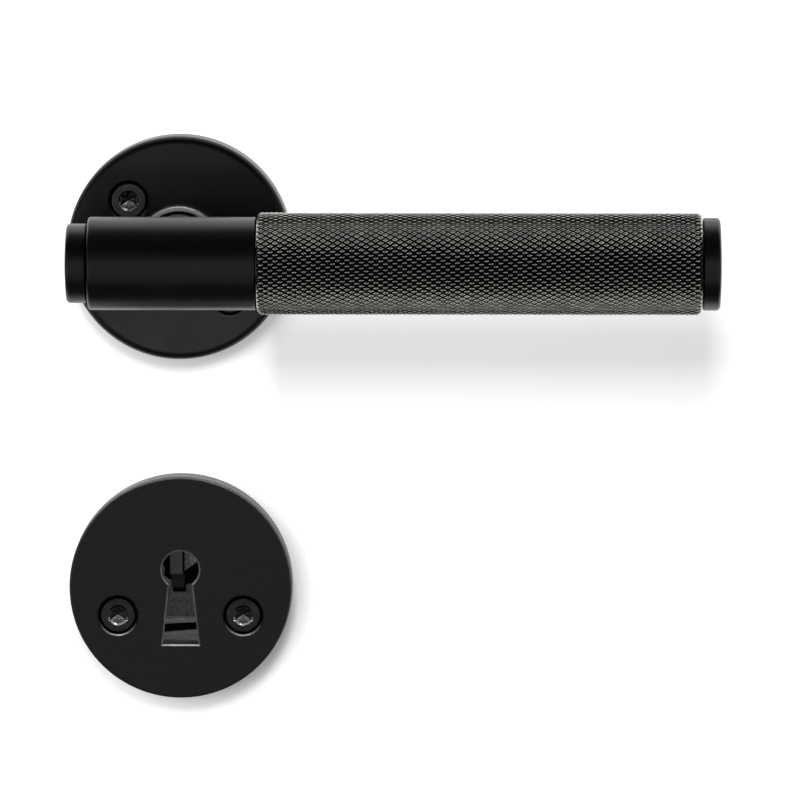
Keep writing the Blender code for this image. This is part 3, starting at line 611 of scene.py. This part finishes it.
def knurl(name, side, radius, x0, x1, bore):
    """Grip sleeve with two crossing families of V grooves. The mesh follows the grooves, so
    each diamond is a small pyramid with a blunt top, and the ends are chamfered."""
    s = SIDES[side]
    rows = int(round((x1 - x0) / AXIAL * 2 * FINE))
    columns = STARTS * FINE
    step = (x1 - x0) / rows
    axis_y = s * (FACE + AXIS_D)
    r = np.arange(rows + 1)
    c = np.arange(columns)
    grid_r, grid_c = np.meshgrid(r, c, indexing="ij")
    half = (grid_r % 2) * 0.5
    theta = (grid_c + half) / columns * math.tau + TWIST * step * grid_r
    # position across the two families of grooves, in pitches
    a = grid_r / (2 * FINE)
    b = (grid_c + half) / FINE
    u = a + b
    v = a - b
    du = np.abs(u - np.floor(u) - 0.5)
    dv = np.abs(v - np.floor(v) - 0.5)
    far = np.maximum(du, dv) * 2.0      # 0 at the top of a diamond, 1 in a groove
    height = DEPTH * np.interp(far, [0.0, 1 / 3, 2 / 3, 1.0], [1.0, 0.92, 0.60, 0.0])
    # small differences from diamond to diamond, as a pressed knurl has
    cu, cv = np.floor(u).astype(int), np.floor(v).astype(int)
    chance = np.sin(cu * 12.9898 + cv * 78.233) * 43758.5453
    chance = chance - np.floor(chance)
    height = height * (0.93 + 0.07 * chance)
    x = x0 + grid_r * step
    top = radius - DEPTH + height
    chamfer = 0.95
    lowest = radius - 0.85
    edge = np.minimum(x - x0, x1 - x)
    limit = lowest + np.clip(edge / chamfer, 0.0, 1.0) ** 0.75 * 0.86
    rr = np.minimum(top, limit)
    # crest is the height of each point, 0 in a groove and 1 on a top; the finish paints the grooves dark from it as
    # painted shade
    crest = np.clip(height / DEPTH, 0.0, 1.0)
    crest = np.where(top > limit, 0.8, crest)
    verts = np.stack([x, axis_y + rr * np.cos(theta) * -s, rr * np.sin(theta)], -1).reshape(-1, 3) * MM
    crest = crest.reshape(-1)

    def at(i, j):
        return i * columns + (j % columns)

    faces = []
    for i in range(0, rows - 1):
        shift = i % 2
        for j in range(columns):
            left = at(i, j)
            upper = at(i + 1, j if shift == 0 else j + 1)
            lower = at(i + 1, j - 1 if shift == 0 else j)
            right = at(i + 2, j)
            # cell place inside its diamond decides which way a crossed cell is split
            cell_u = (i + 1) / (2 * FINE) + (j + shift * 0.5) / FINE
            cell_v = (i + 1) / (2 * FINE) - (j + shift * 0.5) / FINE
            fu = cell_u - math.floor(cell_u) - 0.5
            fv = cell_v - math.floor(cell_v) - 0.5
            if abs(abs(fu) - abs(fv)) < 1e-6 and (abs(fu) > 1e-6):
                if fu * fv > 0:
                    faces += [(left, lower, right), (left, right, upper)]
                else:
                    faces += [(left, lower, upper), (lower, right, upper)]
            else:
                faces.append((left, lower, right, upper))
    # the two ragged ends close with triangles
    for j in range(columns):
        faces.append((at(0, j), at(0, j + 1), at(1, j)))
        last = rows
        if last % 2:
            faces.append((at(last - 1, j + 1), at(last, j + 1), at(last, j)))
            faces[-1] = (at(last, j), at(last, j + 1), at(last - 1, j + 1))
        else:
            faces.append((at(last, j), at(last, j + 1), at(last - 1, j)))
    # end faces and bore
    outer_a = [at(0, j) for j in range(columns)]
    outer_b = [at(rows, j) for j in range(columns)]
    base = len(verts)
    extra, extra_crest = [], []
    loops = []
    for radius_, x_ in ((lowest - 0.35, x0 - 0.0), (bore + 0.4, x0), (bore, x0 + 0.4), (bore, x1 - 0.4), (bore + 0.4, x1), (lowest - 0.35, x1)):
        start = base + len(extra)
        far_end = x_ > (x0 + x1) / 2
        ring_theta = (np.arange(columns) + (rows % 2) * 0.5 * far_end) / columns * math.tau + TWIST * (x1 - x0) * far_end
        extra += [
            (x_ * MM, (axis_y + radius_ * math.cos(t) * -s) * MM, radius_ * math.sin(t) * MM) for t in ring_theta
        ]
        extra_crest += [0.55] * columns
        loops.append(list(range(start, start + columns)))
    chain = [outer_a, *loops, outer_b]
    for p, q in zip(chain, chain[1:]):
        for j in range(columns):
            k = (j + 1) % columns
            faces.append((p[j], q[j], q[k], p[k]))
    verts = np.concatenate([verts, np.array(extra)], 0)
    crest = np.concatenate([crest, np.array(extra_crest)])
    obj = mesh_object(name, verts, faces)
    attribute = obj.data.attributes.new("crest", "FLOAT", "POINT")
    attribute.data.foreach_set("value", crest.astype(np.float32))
    obj.data.shade_smooth()
    obj.data.set_sharp_from_angle(angle=math.radians(34))
    return obj


# ---------------------------------------------------------------- trim on both sides

key_things = []

for side, s in SIDES.items():

    def d(distance):
        return s * (FACE + distance)

    lever_axis = along_x(y=d(AXIS_D))

    # rose: one shell with a rolled rim
    rim = 1.9
    cover = lathe(
        f"{side}_rose_shell",
        [(COLLAR_R + GAP + 0.25, ROSE_T), (18.0, ROSE_T), (ROSE_R - rim - 0.4, ROSE_T)]
        + arc((ROSE_R - rim, ROSE_T - rim), rim, 90, 0, 14)
        + [(ROSE_R, 4.0), (ROSE_R, 0.25), (ROSE_R - 0.25, 0.0), (ROSE_R - ROSE_WALL, 0.0),
           (ROSE_R - ROSE_WALL, ROSE_T - ROSE_PLATE), (COLLAR_R + GAP, ROSE_T - ROSE_PLATE),
           (COLLAR_R + GAP, ROSE_T - 0.25)],
        outward(side), 192,
    )
    bores = []
    for n, (sx, sz) in enumerate(((-1, 1), (1, -1))):
        x, z = sx * ROSE_SCREW[0], sz * ROSE_SCREW[1]
        bores.append(
            lathe(f"bore_{n}", [(0, 12), (BORE_R + 0.42, 12), (BORE_R + 0.42, ROSE_T + 0.02), (BORE_R + 0.36, ROSE_T - 0.02), (BORE_R + 0.20, ROSE_T - 0.12), (BORE_R + 0.06, ROSE_T - 0.30), (BORE_R, ROSE_T - 0.52), (BORE_R, 5), (0, 5)],
                  outward(side, x, z), 72, tools)
        )
    cut(cover, *bores)
    smooth(cover)
    finish(cover, "satin_black_face", "lock", "satin_black", f"{side}_rose_cover")
    # painted highlight on the lower rims of the screw holes
    edge_line(cover, [("screw_rim_highlight", [(-ROSE_SCREW[0], ROSE_SCREW[1], 6.5), (ROSE_SCREW[0], -ROSE_SCREW[1], 6.5)])])

    key = lathe(
        f"{side}_key_shell",
        [(0, KEY_T), (14.0, KEY_T), (ROSE_R - 1.2, KEY_T)]
        + arc((ROSE_R - 0.62, KEY_T - 0.5), 0.5, 90, 0, 7)
        + [(ROSE_R - 0.12, KEY_T - 1.15), (ROSE_R - 0.22, KEY_T - 1.3), (ROSE_R - 0.45, KEY_T - 1.42), (ROSE_R - 0.22, KEY_T - 1.54)]
        + [(ROSE_R - 0.05, KEY_T - 1.66), (ROSE_R, KEY_T - 1.85), (ROSE_R, 4.0), (ROSE_R, 0.25), (ROSE_R - 0.25, 0.0), (ROSE_R - ROSE_WALL, 0.0),
           (ROSE_R - ROSE_WALL, KEY_T - KEY_PLATE), (0, KEY_T - KEY_PLATE)],
        outward(side, z=ESC_Z), 192,
    )
    bores = [
        lathe(f"bore_{n}", [(0, 12), (BORE_R + 0.42, 12), (BORE_R + 0.42, KEY_T + 0.02), (BORE_R + 0.36, KEY_T - 0.02), (BORE_R + 0.20, KEY_T - 0.12), (BORE_R + 0.06, KEY_T - 0.30), (BORE_R, KEY_T - 0.52), (BORE_R, 5), (0, 5)],
              outward(side, x, KEY_SCREW_Z), 72, tools)
        for n, x in enumerate((-KEY_SCREW_X, KEY_SCREW_X))
    ]
    hole = loft(
        "keyhole",
        [keyhole_outline(d(KEY_T + 2), 0.04), keyhole_outline(d(KEY_T + 0.02), 0.04), keyhole_outline(d(KEY_T - 0.14), -0.08),
         keyhole_outline(d(KEY_T - 0.38), -0.34), keyhole_outline(d(4.0), -0.34)],
    )
    cut(key, *bores, hole)
    smooth(key)
    finish(key, "satin_black_key", "lock", "satin_black", f"{side}_key_cover")
    # painted highlights: light grey on the lower rims of the screw holes and on the slanted faces round the keyhole
    edge_line(key, [
        ("screw_rim_highlight", [(x, KEY_SCREW_Z, 6.5) for x in (-KEY_SCREW_X, KEY_SCREW_X)]),
        ("keyhole_edge_highlight", [(0.0, KEY_Z, 7.0), (0.0, KEY_Z - 10.0, 5.0), (0.0, KEY_Z - SLOT_LOW + 3.5, 6.5)]),
    ])
    key_things.append(key)

    # lever
    low, high = BARREL_X
    barrel = lathe(
        f"{side}_barrel",
        [(0, high), (6.8, high), (BARREL_R - 0.45 - 0.2, high)] + arc((BARREL_R - 0.45, high - 0.45), 0.45, 90, 0, 6)
        + [(BARREL_R, high - 1.6), (BARREL_R, low + 1.9)] + arc((BARREL_R - 0.75, low + 0.75), 0.75, 0, -90, 8)
        + [(BARREL_R - 1.2, low), (6.8, low), (0, low)],
        lever_axis, 160,
    )
    neck = lathe(
        f"{side}_neck",
        [(0, AXIS_D), (NECK_R, AXIS_D), (NECK_R, 2.9), (NECK_R - 1.0, 2.9), (NECK_R - 1.0, 1.5), (NECK_R, 1.5),
         (NECK_R, 0.7), (NECK_R - 0.2, 0.5), (0, 0.5)],
        outward(side), 112, tools,
    )
    join(barrel, neck)
    cut(
        barrel,
        box("socket", (-SOCKET, min(d(-1), d(36)), -SOCKET), (SOCKET, max(d(-1), d(36)), SOCKET)),
        lathe("bore_left", [(0, low - 1), (6.5, low - 1), (6.5, low), (6.2, low + 0.4), (6.2, -10.0), (0, -10.0)], lever_axis, 64, tools),
        lathe("bore_right", [(0, 9.0), (6.2, 9.0), (6.2, high - 0.4), (6.5, high), (6.5, high + 1), (0, high + 1)], lever_axis, 64, tools),
        lathe("grub_hole", [(0, -9.5), (2.9, -9.5), (2.9, -8.3), (2.6, -7.9), (2.6, -3.0), (0, -3.0)],
              Matrix.Translation((0, d(15) * MM, 0)), 48, tools),
    )
    smooth(barrel, 32)
    finish(barrel, "satin_black", "handle", "satin_black", f"{side}_lever_barrel")

    grub = lathe(
        f"{side}_grub", [(0, -8.1), (2.0, -8.1), (2.25, -7.85), (2.25, -4.6), (1.4, -4.35), (0, -4.35)],
        Matrix.Translation((0, d(15) * MM, 0)), 48,
    )
    hexagon = lambda h, k: [
        (1.3 * k * math.cos(math.tau * i / 6) * MM, d(15) * MM + 1.3 * k * math.sin(math.tau * i / 6) * MM, h * MM)
        for i in range(6)
    ]
    cut(grub, loft("hex", [hexagon(-8.6, 1.15), hexagon(-8.1, 1.12), hexagon(-7.9, 1.0), hexagon(-6.4, 1.0)]))
    smooth(grub)
    finish(grub, "black_steel", "handle", "black_steel", f"{side}_grub_screw")

    low, high = END_CAP_X
    end_cap = lathe(
        f"{side}_cap",
        [(END_CAP_R * 0.93 * k / 6, high - 0.36 * (k / 6) ** 2.2) for k in range(7)]
        + arc((END_CAP_R - 0.8, high - 1.25), 0.8, 66, 0, 7)
        + [(END_CAP_R, low + 1.4), (END_CAP_R, low + 0.3), (END_CAP_R - 0.3, low), (3.1, low), (3.1, 105.3), (2.8, 105.0), (0, 105.0)],
        lever_axis, 144,
    )
    smooth(end_cap)
    finish(end_cap, "satin_black", "handle", "satin_black", f"{side}_end_cap")

    low, high = INNER_CAP_X
    inner = lathe(
        f"{side}_stepped_cap",
        [(0, -11.0), (5.6, -11.0), (5.9, -11.3), (5.9, high), (INNER_CAP_R - 0.25, high), (INNER_CAP_R, high - 0.25),
         (INNER_CAP_R, low + 1.9)] + arc((INNER_CAP_R - 0.95, low + 1.3), 0.95, 0, -66, 8)
        + [(INNER_CAP_R * 0.9 * k / 6, low + 0.38 * (k / 6) ** 2.2) for k in range(6, -1, -1)],
        lever_axis, 144,
    )
    smooth(inner)
    finish(inner, "satin_black", "handle", "satin_black", f"{side}_inner_cap")

    sleeve = knurl(f"{side}_knurled_sleeve", side, GRIP_R, GRIP_X[0], GRIP_X[1], 6.2)
    finish(sleeve, "knurled_black", "handle", "knurled_black", f"{side}_grip_sleeve")

    ring = lathe(
        f"{side}_collar_ring",
        [(NECK_R + 0.65, 10.4), (COLLAR_R - 0.45, 10.4), (COLLAR_R - 0.12, 10.26), (COLLAR_R, 9.95), (COLLAR_R, 7.2),
         (NECK_R + 0.4, 7.2), (NECK_R + 0.4, 10.15)],
        outward(side), 144,
    )
    smooth(ring)
    finish(ring, "satin_collar", "lock", "satin_collar", f"{side}_collar")

    # fixings
    kind = "screw" if s < 0 else "sleeve_nut"
    for label, x, z in (
        ("rose_{}_upper", -ROSE_SCREW[0], ROSE_SCREW[1]),
        ("rose_{}_lower", ROSE_SCREW[0], -ROSE_SCREW[1]),
        ("key_{}_left", -KEY_SCREW_X, KEY_SCREW_Z),
        ("key_{}_right", KEY_SCREW_X, KEY_SCREW_Z),
    ):
        node = f"{side}_" + label.format(kind)
        t = HEAD_TOP
        head = [(0, t), (3.0, t), (HEAD_R - 0.45, t)] + arc((HEAD_R - 0.32, t - 0.32), 0.32, 90, 0, 5) + [(HEAD_R, t - HEAD_H)]
        if s < 0:
            profile = head + [(SCREW_R, t - HEAD_H), (SCREW_R, -24.5), (SCREW_R - 0.5, -25.0), (0, -25.0)]
        else:
            profile = head + [(SLEEVE_R, t - HEAD_H), (SLEEVE_R, 0.5 - DOOR), (SLEEVE_R - 0.2, 0.3 - DOOR),
                              (SCREW_R + 0.3, 0.3 - DOOR), (SCREW_R + 0.3, -8.0), (0, -8.0)]
        screw = lathe(node + "_head", profile, outward(side, x, z), 72)
        recess = loft(
            "recess",
            [star_outline(side, x, z, t + 0.6, 1.08), star_outline(side, x, z, t + 0.01, 1.07), star_outline(side, x, z, t - 0.12, 1.0),
             star_outline(side, x, z, t - 1.05, 0.88), star_outline(side, x, z, t - 1.10, 0.62), star_outline(side, x, z, t - 1.52, 0.03)],
        )
        cone = lathe(node + "_cone", [(0, t + 0.5), (2.50, t + 0.5), (2.50, t + 0.01), (2.44, t - 0.02), (1.98, t - 0.26), (0, t - 0.26)],
                     outward(side, x, z), 72, tools)
        cut(screw, recess, cone)
        smooth(screw, 26)
        # the escutcheon screws get a darker copy of the steel: painted shade that offsets the lamps shining on them;
        # the rose screws keep nearly the plain tone
        FINISH[node] = black_steel(node + "_steel", x, z, tint=0.45 if "_key_" in node else 0.95)
        finish(screw, node, "lock", "black_steel", node)
        # the faces inside the recess take the painted glint and shade
        screw.data.materials.append(FINISH["recess_glint_and_shade"])
        for polygon in screw.data.polygons:
            p = polygon.center
            depth = t - (abs(p.y) / MM - FACE)
            flat = abs(polygon.normal.y) > 0.97 and depth < 0.4
            if 0.03 < depth < 1.9 and not flat and math.hypot(p.x / MM - x, p.z / MM - z) < 2.6:
                polygon.material_index = 1
        if "_key_" in node:
            key_things.append(screw)

# ---------------------------------------------------------------- lock: fine screws and springs

corner_posts = [(23.0, 28.0), (23.0, -103.0), (-42.5, -103.0), (-42.5, 28.0)]
for n, (x, z) in enumerate(corner_posts, 1):
    screw = lathe(
        f"case_screw_{n}_head",
        [(0, -0.5), (1.1, -0.9), (1.1, -7.8), (2.6, -7.8), (2.6, -8.0)] + arc((1.9, -8.15), 0.68, 0, -80, 6) + [(0, -9.0)],
        along_y(x, z), 48,
    )
    cut(screw, box("slot", (x - 3.0, -10.0, z - 0.35), (x + 3.0, -8.4, z + 0.35)))
    smooth(screw)
    finish(screw, "zinc_steel", "lock", "zinc_steel", f"case_screw_{n}")

for label, z in (("upper", 41.0), ("lower", -116.0)):
    screw = lathe(
        f"forend_screw_{label}_head",
        [(0, -26.0), (1.9, -30.0), (1.9, -47.7), (3.75, -49.55), (3.75, -49.7), (0, -49.7)], along_x(z=z), 64,
    )
    cut(
        screw,
        box("drive_a", (-51, -0.4, z - 2.0), (-48.2, 0.4, z + 2.0)),
        box("drive_b", (-51, -2.0, z - 0.4), (-48.2, 2.0, z + 0.4)),
    )
    smooth(screw)
    finish(screw, "nickel", "lock", "nickel", f"forend_screw_{label}")


def wire(name, points, radius, sides=10):
    """A round wire through the points, in millimetres, as a mesh."""
    points = [Vector(p) * MM for p in points]
    verts, faces = [], []
    normal = None
    for i, p in enumerate(points):
        a = points[max(i - 1, 0)]
        b = points[min(i + 1, len(points) - 1)]
        way = (b - a).normalized()
        if normal is None:
            normal = way.orthogonal().normalized()
        normal = (normal - way * normal.dot(way)).normalized()
        other = way.cross(normal)
        for k in range(sides):
            t = math.tau * k / sides
            verts.append(p + (normal * math.cos(t) + other * math.sin(t)) * radius * MM)
    for i in range(len(points) - 1):
        for k in range(sides):
            j = (k + 1) % sides
            faces.append((i * sides + k, i * sides + j, (i + 1) * sides + j, (i + 1) * sides + k))
    faces.append(tuple(range(sides)))
    faces.append(tuple(range((len(points) - 1) * sides, len(points) * sides)))
    obj = mesh_object(name, verts, faces)
    return smooth(obj, 50, False)


coil = []
for i in range(6 * 24 + 1):
    a = math.tau * i / 24
    coil.append((-44.1 + 17.5 * i / (6 * 24), 2.0 + 2.6 * math.cos(a), 18.0 + 2.6 * math.sin(a)))
latch_spring = wire("latch_coil", coil, 0.35)
finish(latch_spring, "spring_steel", "lock", "spring_steel", "latch_spring")
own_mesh(latch_spring)

for side, s in SIDES.items():
    coil = []
    for i in range(61):
        a = math.radians(60) + math.tau * 1.25 * i / 60
        coil.append((12.0 * math.cos(a), s * (FACE + 4.5 + 0.94 * i / 60), 12.0 * math.sin(a)))
    spring = wire(f"{side}_return_coil", coil, 0.35)
    finish(spring, "spring_steel", "lock", "spring_steel", f"{side}_return_spring")

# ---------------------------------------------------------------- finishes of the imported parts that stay

STAY = {
    "zinc_steel": ["spindle", "lock_case", "case_cover", "outside_grip_core", "inside_grip_core",
                   "outside_spring_driver", "inside_spring_driver"],
    "ward_steel": ["ward_plate"],
    "brass": ["follower", "tumbler_1", "tumbler_2"],
    "nickel": ["latch_bolt", "deadbolt", "forend_plate"],
    "spring_steel": ["outside_circlip", "inside_circlip"],
    "grey_zamak": ["outside_rose_base", "inside_rose_base", "outside_key_base", "inside_key_base"],
    "flap_steel": ["dust_flap"],
}
ROUND_EDGES = {"lock_case": 0.18, "case_cover": 0.15, "forend_plate": 0.3, "latch_bolt": 0.25, "deadbolt": 0.3,
               "ward_plate": 0.1, "follower": 0.2, "spindle": 0.15, "tumbler_1": 0.12, "tumbler_2": 0.12, "dust_flap": 0.1}
for look, names in STAY.items():
    for name in names:
        obj = nodes[name]
        if not obj.material_slots:
            obj.data.materials.append(None)
        for slot in obj.material_slots:
            slot.material = FINISH[look]
        if name in ROUND_EDGES:
            weld = obj.modifiers.new("weld", "WELD")
            weld.merge_threshold = 2e-6
            edges = obj.modifiers.new("edges", "BEVEL")
            edges.width = ROUND_EDGES[name] * MM
            edges.segments = 2
            edges.limit_method = "ANGLE"
            edges.angle_limit = math.radians(40)
            edges.use_clamp_overlap = True
            even = obj.modifiers.new("even_normals", "WEIGHTED_NORMAL")
            even.mode = "FACE_AREA"
            even.weight = 100

# the flat springs over the tumblers, which give way as the tumblers rise in the real lock: each is drawn from a copy
# of its imported mesh in spring steel
for n in (1, 2):
    node = f"tumbler_spring_{n}"
    leaf = bpy.data.objects.new(f"tumbler_leaf_{n}", nodes[node].data.copy())
    made.objects.link(leaf)
    leaf.data.materials.clear()
    finish(leaf, "spring_steel", "lock", "spring_steel", node)
    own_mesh(leaf)


# ---------------------------------------------------------------- stage

stage_things = bpy.data.collections.new("stage")
bpy.context.scene.collection.children.link(stage_things)


def staged(name, verts, faces, material):
    obj = mesh_object(name, verts, faces, stage_things)
    obj.data.materials.append(material)
    return obj


def plain(name, colour, glow=0.0, roughness=0.9):
    f = Finish(name)
    mottle = f.noise(6.0, 2.0)
    tone = f.mix(f.ramp(mottle, 0.4, 0.6), colour, tuple(c * 0.99 for c in colour))
    m = f.done(tone, roughness, 0.0)
    if glow:
        f.bsdf.inputs["Emission Color"].default_value = (1, 1, 1, 1)
        f.bsdf.inputs["Emission Strength"].default_value = glow
    return m


WALL_Y = -FACE + 0.04


def panel(name, low, high, centre_z, paint):
    """The face of the door behind the outside trim, with a round hole behind the rose."""
    curve = bpy.data.curves.new(name, "CURVE")
    curve.dimensions = "2D"
    curve.fill_mode = "BOTH"
    curve.extrude = 0.0006
    ring = [(24.9 * math.cos(math.tau * i / 96), centre_z + 24.9 * math.sin(math.tau * i / 96)) for i in range(96)]
    for loop in ([(-150, low), (240, low), (240, high), (-150, high)], ring):
        spline = curve.splines.new("POLY")
        spline.points.add(len(loop) - 1)
        for point, (x, z) in zip(spline.points, loop):
            point.co = (x * MM, z * MM, 0.0, 1.0)
        spline.use_cyclic_u = True
    drawn = bpy.data.objects.new(name + "_outline", curve)
    stage_things.objects.link(drawn)
    drawn.matrix_world = Matrix.Translation((0.0, (WALL_Y + 0.6) * MM, 0.0)) @ Matrix.Rotation(math.pi / 2, 4, "X")
    bpy.context.view_layer.update()
    mesh = bpy.data.meshes.new_from_object(drawn.evaluated_get(bpy.context.evaluated_depsgraph_get()))
    mesh.transform(drawn.matrix_world)
    obj = bpy.data.objects.new(name, mesh)
    stage_things.objects.link(obj)
    bpy.data.objects.remove(drawn, do_unlink=True)
    obj.data.materials.clear()
    obj.data.materials.append(paint)
    obj.data.materials.append(back_paint)
    for polygon in obj.data.polygons:
        if polygon.normal.y > -0.5:
            polygon.material_index = 1
    return obj


back_paint = plain("door_paint_back", (0.80, 0.80, 0.80), 0.30)
high_paint = plain("door_paint_high", (0.86, 0.86, 0.86), 0.40)
low_paint = plain("door_paint_low", (0.86, 0.86, 0.86), 0.27)
wall_high = panel("door_face_high", -45.0, 190.0, 0.0, high_paint)
wall_low = panel("door_face_low", -170.0, -45.0, ESC_Z, low_paint)
walls = [wall_high, wall_low]

floor = staged(
    "floor",
    [(-1.5, -1.5, -0.172), (1.5, -1.5, -0.172), (1.5, 1.5, -0.172), (-1.5, 1.5, -0.172)],
    [(0, 1, 2, 3)], plain("floor_paint", (0.82, 0.82, 0.81)),
)
floor.visible_glossy = False
floor.visible_diffuse = False
floor.visible_shadow = False

# painted shade: a near-black card inside the lock behind the keyhole, standing in for the shade there
dark = plain("keyhole_shade_black", (0.004, 0.004, 0.004))
staged(
    "keyhole_shade_card",
    [(-0.011, 0.0135, -0.104), (0.011, 0.0135, -0.104), (0.011, 0.0135, -0.068), (-0.011, 0.0135, -0.068)],
    [(0, 1, 2, 3)], dark,
)

# ---------------------------------------------------------------- light

world = bpy.data.worlds.new("studio")
bpy.context.scene.world = world
world.use_nodes = True
tree = world.node_tree
tree.nodes.clear()
out = tree.nodes.new("ShaderNodeOutputWorld")
mixer = tree.nodes.new("ShaderNodeMixShader")
seen = tree.nodes.new("ShaderNodeBackground")
seen.inputs["Color"].default_value = (0.93, 0.93, 0.93, 1)
seen.inputs["Strength"].default_value = 1.0
lit = tree.nodes.new("ShaderNodeBackground")
path = tree.nodes.new("ShaderNodeLightPath")
coord = tree.nodes.new("ShaderNodeTexCoord")
split = tree.nodes.new("ShaderNodeSeparateXYZ")
tree.links.new(coord.outputs["Generated"], split.inputs[0])
ramp = tree.nodes.new("ShaderNodeMapRange")
ramp.clamp = True
ramp.inputs["From Min"].default_value = 0.1
ramp.inputs["From Max"].default_value = -0.95
ramp.inputs["To Min"].default_value = 0.03
ramp.inputs["To Max"].default_value = 0.008
tree.links.new(split.outputs[1], ramp.inputs["Value"])
tree.links.new(ramp.outputs["Result"], lit.inputs["Strength"])
lit.inputs["Color"].default_value = (1, 1, 1, 1)
tree.links.new(path.outputs["Is Camera Ray"], mixer.inputs[0])
tree.links.new(lit.outputs[0], mixer.inputs[1])
tree.links.new(seen.outputs[0], mixer.inputs[2])
tree.links.new(mixer.outputs[0], out.inputs["Surface"])


def area(name, at, target, size, power, only=None, without=None, blockers=None):
    light = bpy.data.lights.new(name, "AREA")
    light.shape = "RECTANGLE"
    light.size, light.size_y = size
    light.energy = power
    obj = bpy.data.objects.new(name, light)
    bpy.context.scene.collection.objects.link(obj)
    obj.location = at
    obj.rotation_euler = (Vector(target) - Vector(at)).to_track_quat("-Z", "Y").to_euler()
    if only or without:
        group = bpy.data.collections.new(name + "_receivers")
        for o in only or without:
            group.objects.link(o)
        obj.light_linking.receiver_collection = group
        if without:
            for entry in group.collection_objects:
                entry.light_linking.link_state = "EXCLUDE"
    if blockers:
        group = bpy.data.collections.new(name + "_blockers")
        for o in blockers:
            group.objects.link(o)
        obj.light_linking.blocker_collection = group
    return obj


centre = Vector((0.05, -0.045, -0.02))


def around(azimuth, elevation, distance, to=centre):
    """A place at an angle from straight in front (azimuth to the right) and above the level."""
    a, e = math.radians(azimuth), math.radians(elevation)
    return Vector(to) + Vector((math.sin(a) * math.cos(e), -math.cos(a) * math.cos(e), math.sin(e))) * distance


high = Vector((0.05, -0.02, 0.0))
low = Vector((0.0, -0.02, ESC_Z * MM))
roses = [o for o in made.objects if o.name.startswith(("outside_rose_shell", "outside_key_shell"))]
rose_face = [o for o in made.objects if o.name.startswith("outside_rose_shell")]
casters = rose_face + [o for o in made.objects if o.name.startswith(("outside_knurled_sleeve", "outside_cap"))]
collars = [o for o in made.objects if o.name.endswith("_collar_ring")]
inner_things = [nodes[n] for n in ("ward_plate", "dust_flap", "lock_case", "tumbler_1", "tumbler_2")]
area("high_key", around(0, 28, 1.1, high), high, (0.25, 0.42), 9.4, only=[wall_high, floor], blockers=casters)
area("high_side", around(-22, 14, 0.9, high), high, (0.6, 0.6), 4.0, only=[wall_high], blockers=roses)
area("low_key", around(0, 30, 1.1, low), low, (0.25, 0.32), 5.5, only=[wall_low])
area("low_side", around(-24, 12, 0.9, low), low, (0.6, 0.6), 7.2, only=[wall_low], blockers=roses)
area("front_low", around(0, -13, 1.3), centre, (0.9, 1.45), 1.35, without=walls)
area("front_high", around(0, 6, 1.3), centre, (0.9, 0.5), 0.22, without=walls)
area("left", around(-46, -7, 0.8), centre, (0.36, 0.7), 0.95, without=walls)
area("right", around(46, -7, 0.8), centre, (0.36, 0.7), 0.95, without=walls)
area("rose_low", Vector((0.0, -0.28, -0.056)), (0.0, -0.029, -0.02), (0.06, 0.05), 0.045, only=rose_face)
area("rose_left", Vector((-0.060, -0.28, 0.014)), (-0.034, -0.029, 0.03), (0.03, 0.05), 0.012, only=rose_face)
area("collar_top", Vector((0.0, -0.25, 0.36)), (0.0, -0.03, 0.0), (0.2, 0.2), 1.15, only=collars)
key_centre = Vector((0.0, -0.03, ESC_Z * MM))
area("key_top", around(0, 80, 0.5, key_centre), key_centre, (0.5, 0.16), 2.6, only=key_things)
heads = [o for o in made.objects if o.name.startswith(("outside_key_screw", "outside_rose_screw")) and o.name.endswith("_head")]
area("glint", around(10, 44, 0.5, key_centre), key_centre, (0.16, 0.12), 0.16, only=heads)
area("key_inside", around(-22, 24, 0.5, key_centre), key_centre, (0.12, 0.12), 0.19, only=inner_things, blockers=inner_things)
area("back", Vector((-0.5, 0.9, 0.5)), (0.02, 0.02, -0.03), (0.9, 0.9), 6.0, without=walls)
area("back_low", Vector((0.7, 0.7, 0.1)), (0.02, 0.02, -0.03), (0.5, 0.9), 4.0, without=walls)

# ---------------------------------------------------------------- camera

camera = bpy.data.objects.new("camera", bpy.data.cameras.new("camera"))
bpy.context.scene.collection.objects.link(camera)
camera.data.sensor_width = 36.0
camera.data.lens = 7055.6 / 800.0 * 36.0
camera.data.clip_start = 0.05
camera.data.clip_end = 20.0
yaw, pitch = -0.0130, -0.1183
forward = Vector((math.sin(yaw) * math.cos(pitch), math.cos(yaw) * math.cos(pitch), math.sin(pitch)))
camera.location = (0.0743, -1.700, 0.1624)
camera.rotation_euler = forward.to_track_quat("-Z", "Y").to_euler()
bpy.context.scene.camera = camera
bpy.context.scene.view_settings.view_transform = "Standard"
bpy.context.scene.view_settings.look = "None"

bpy.context.view_layer.update()
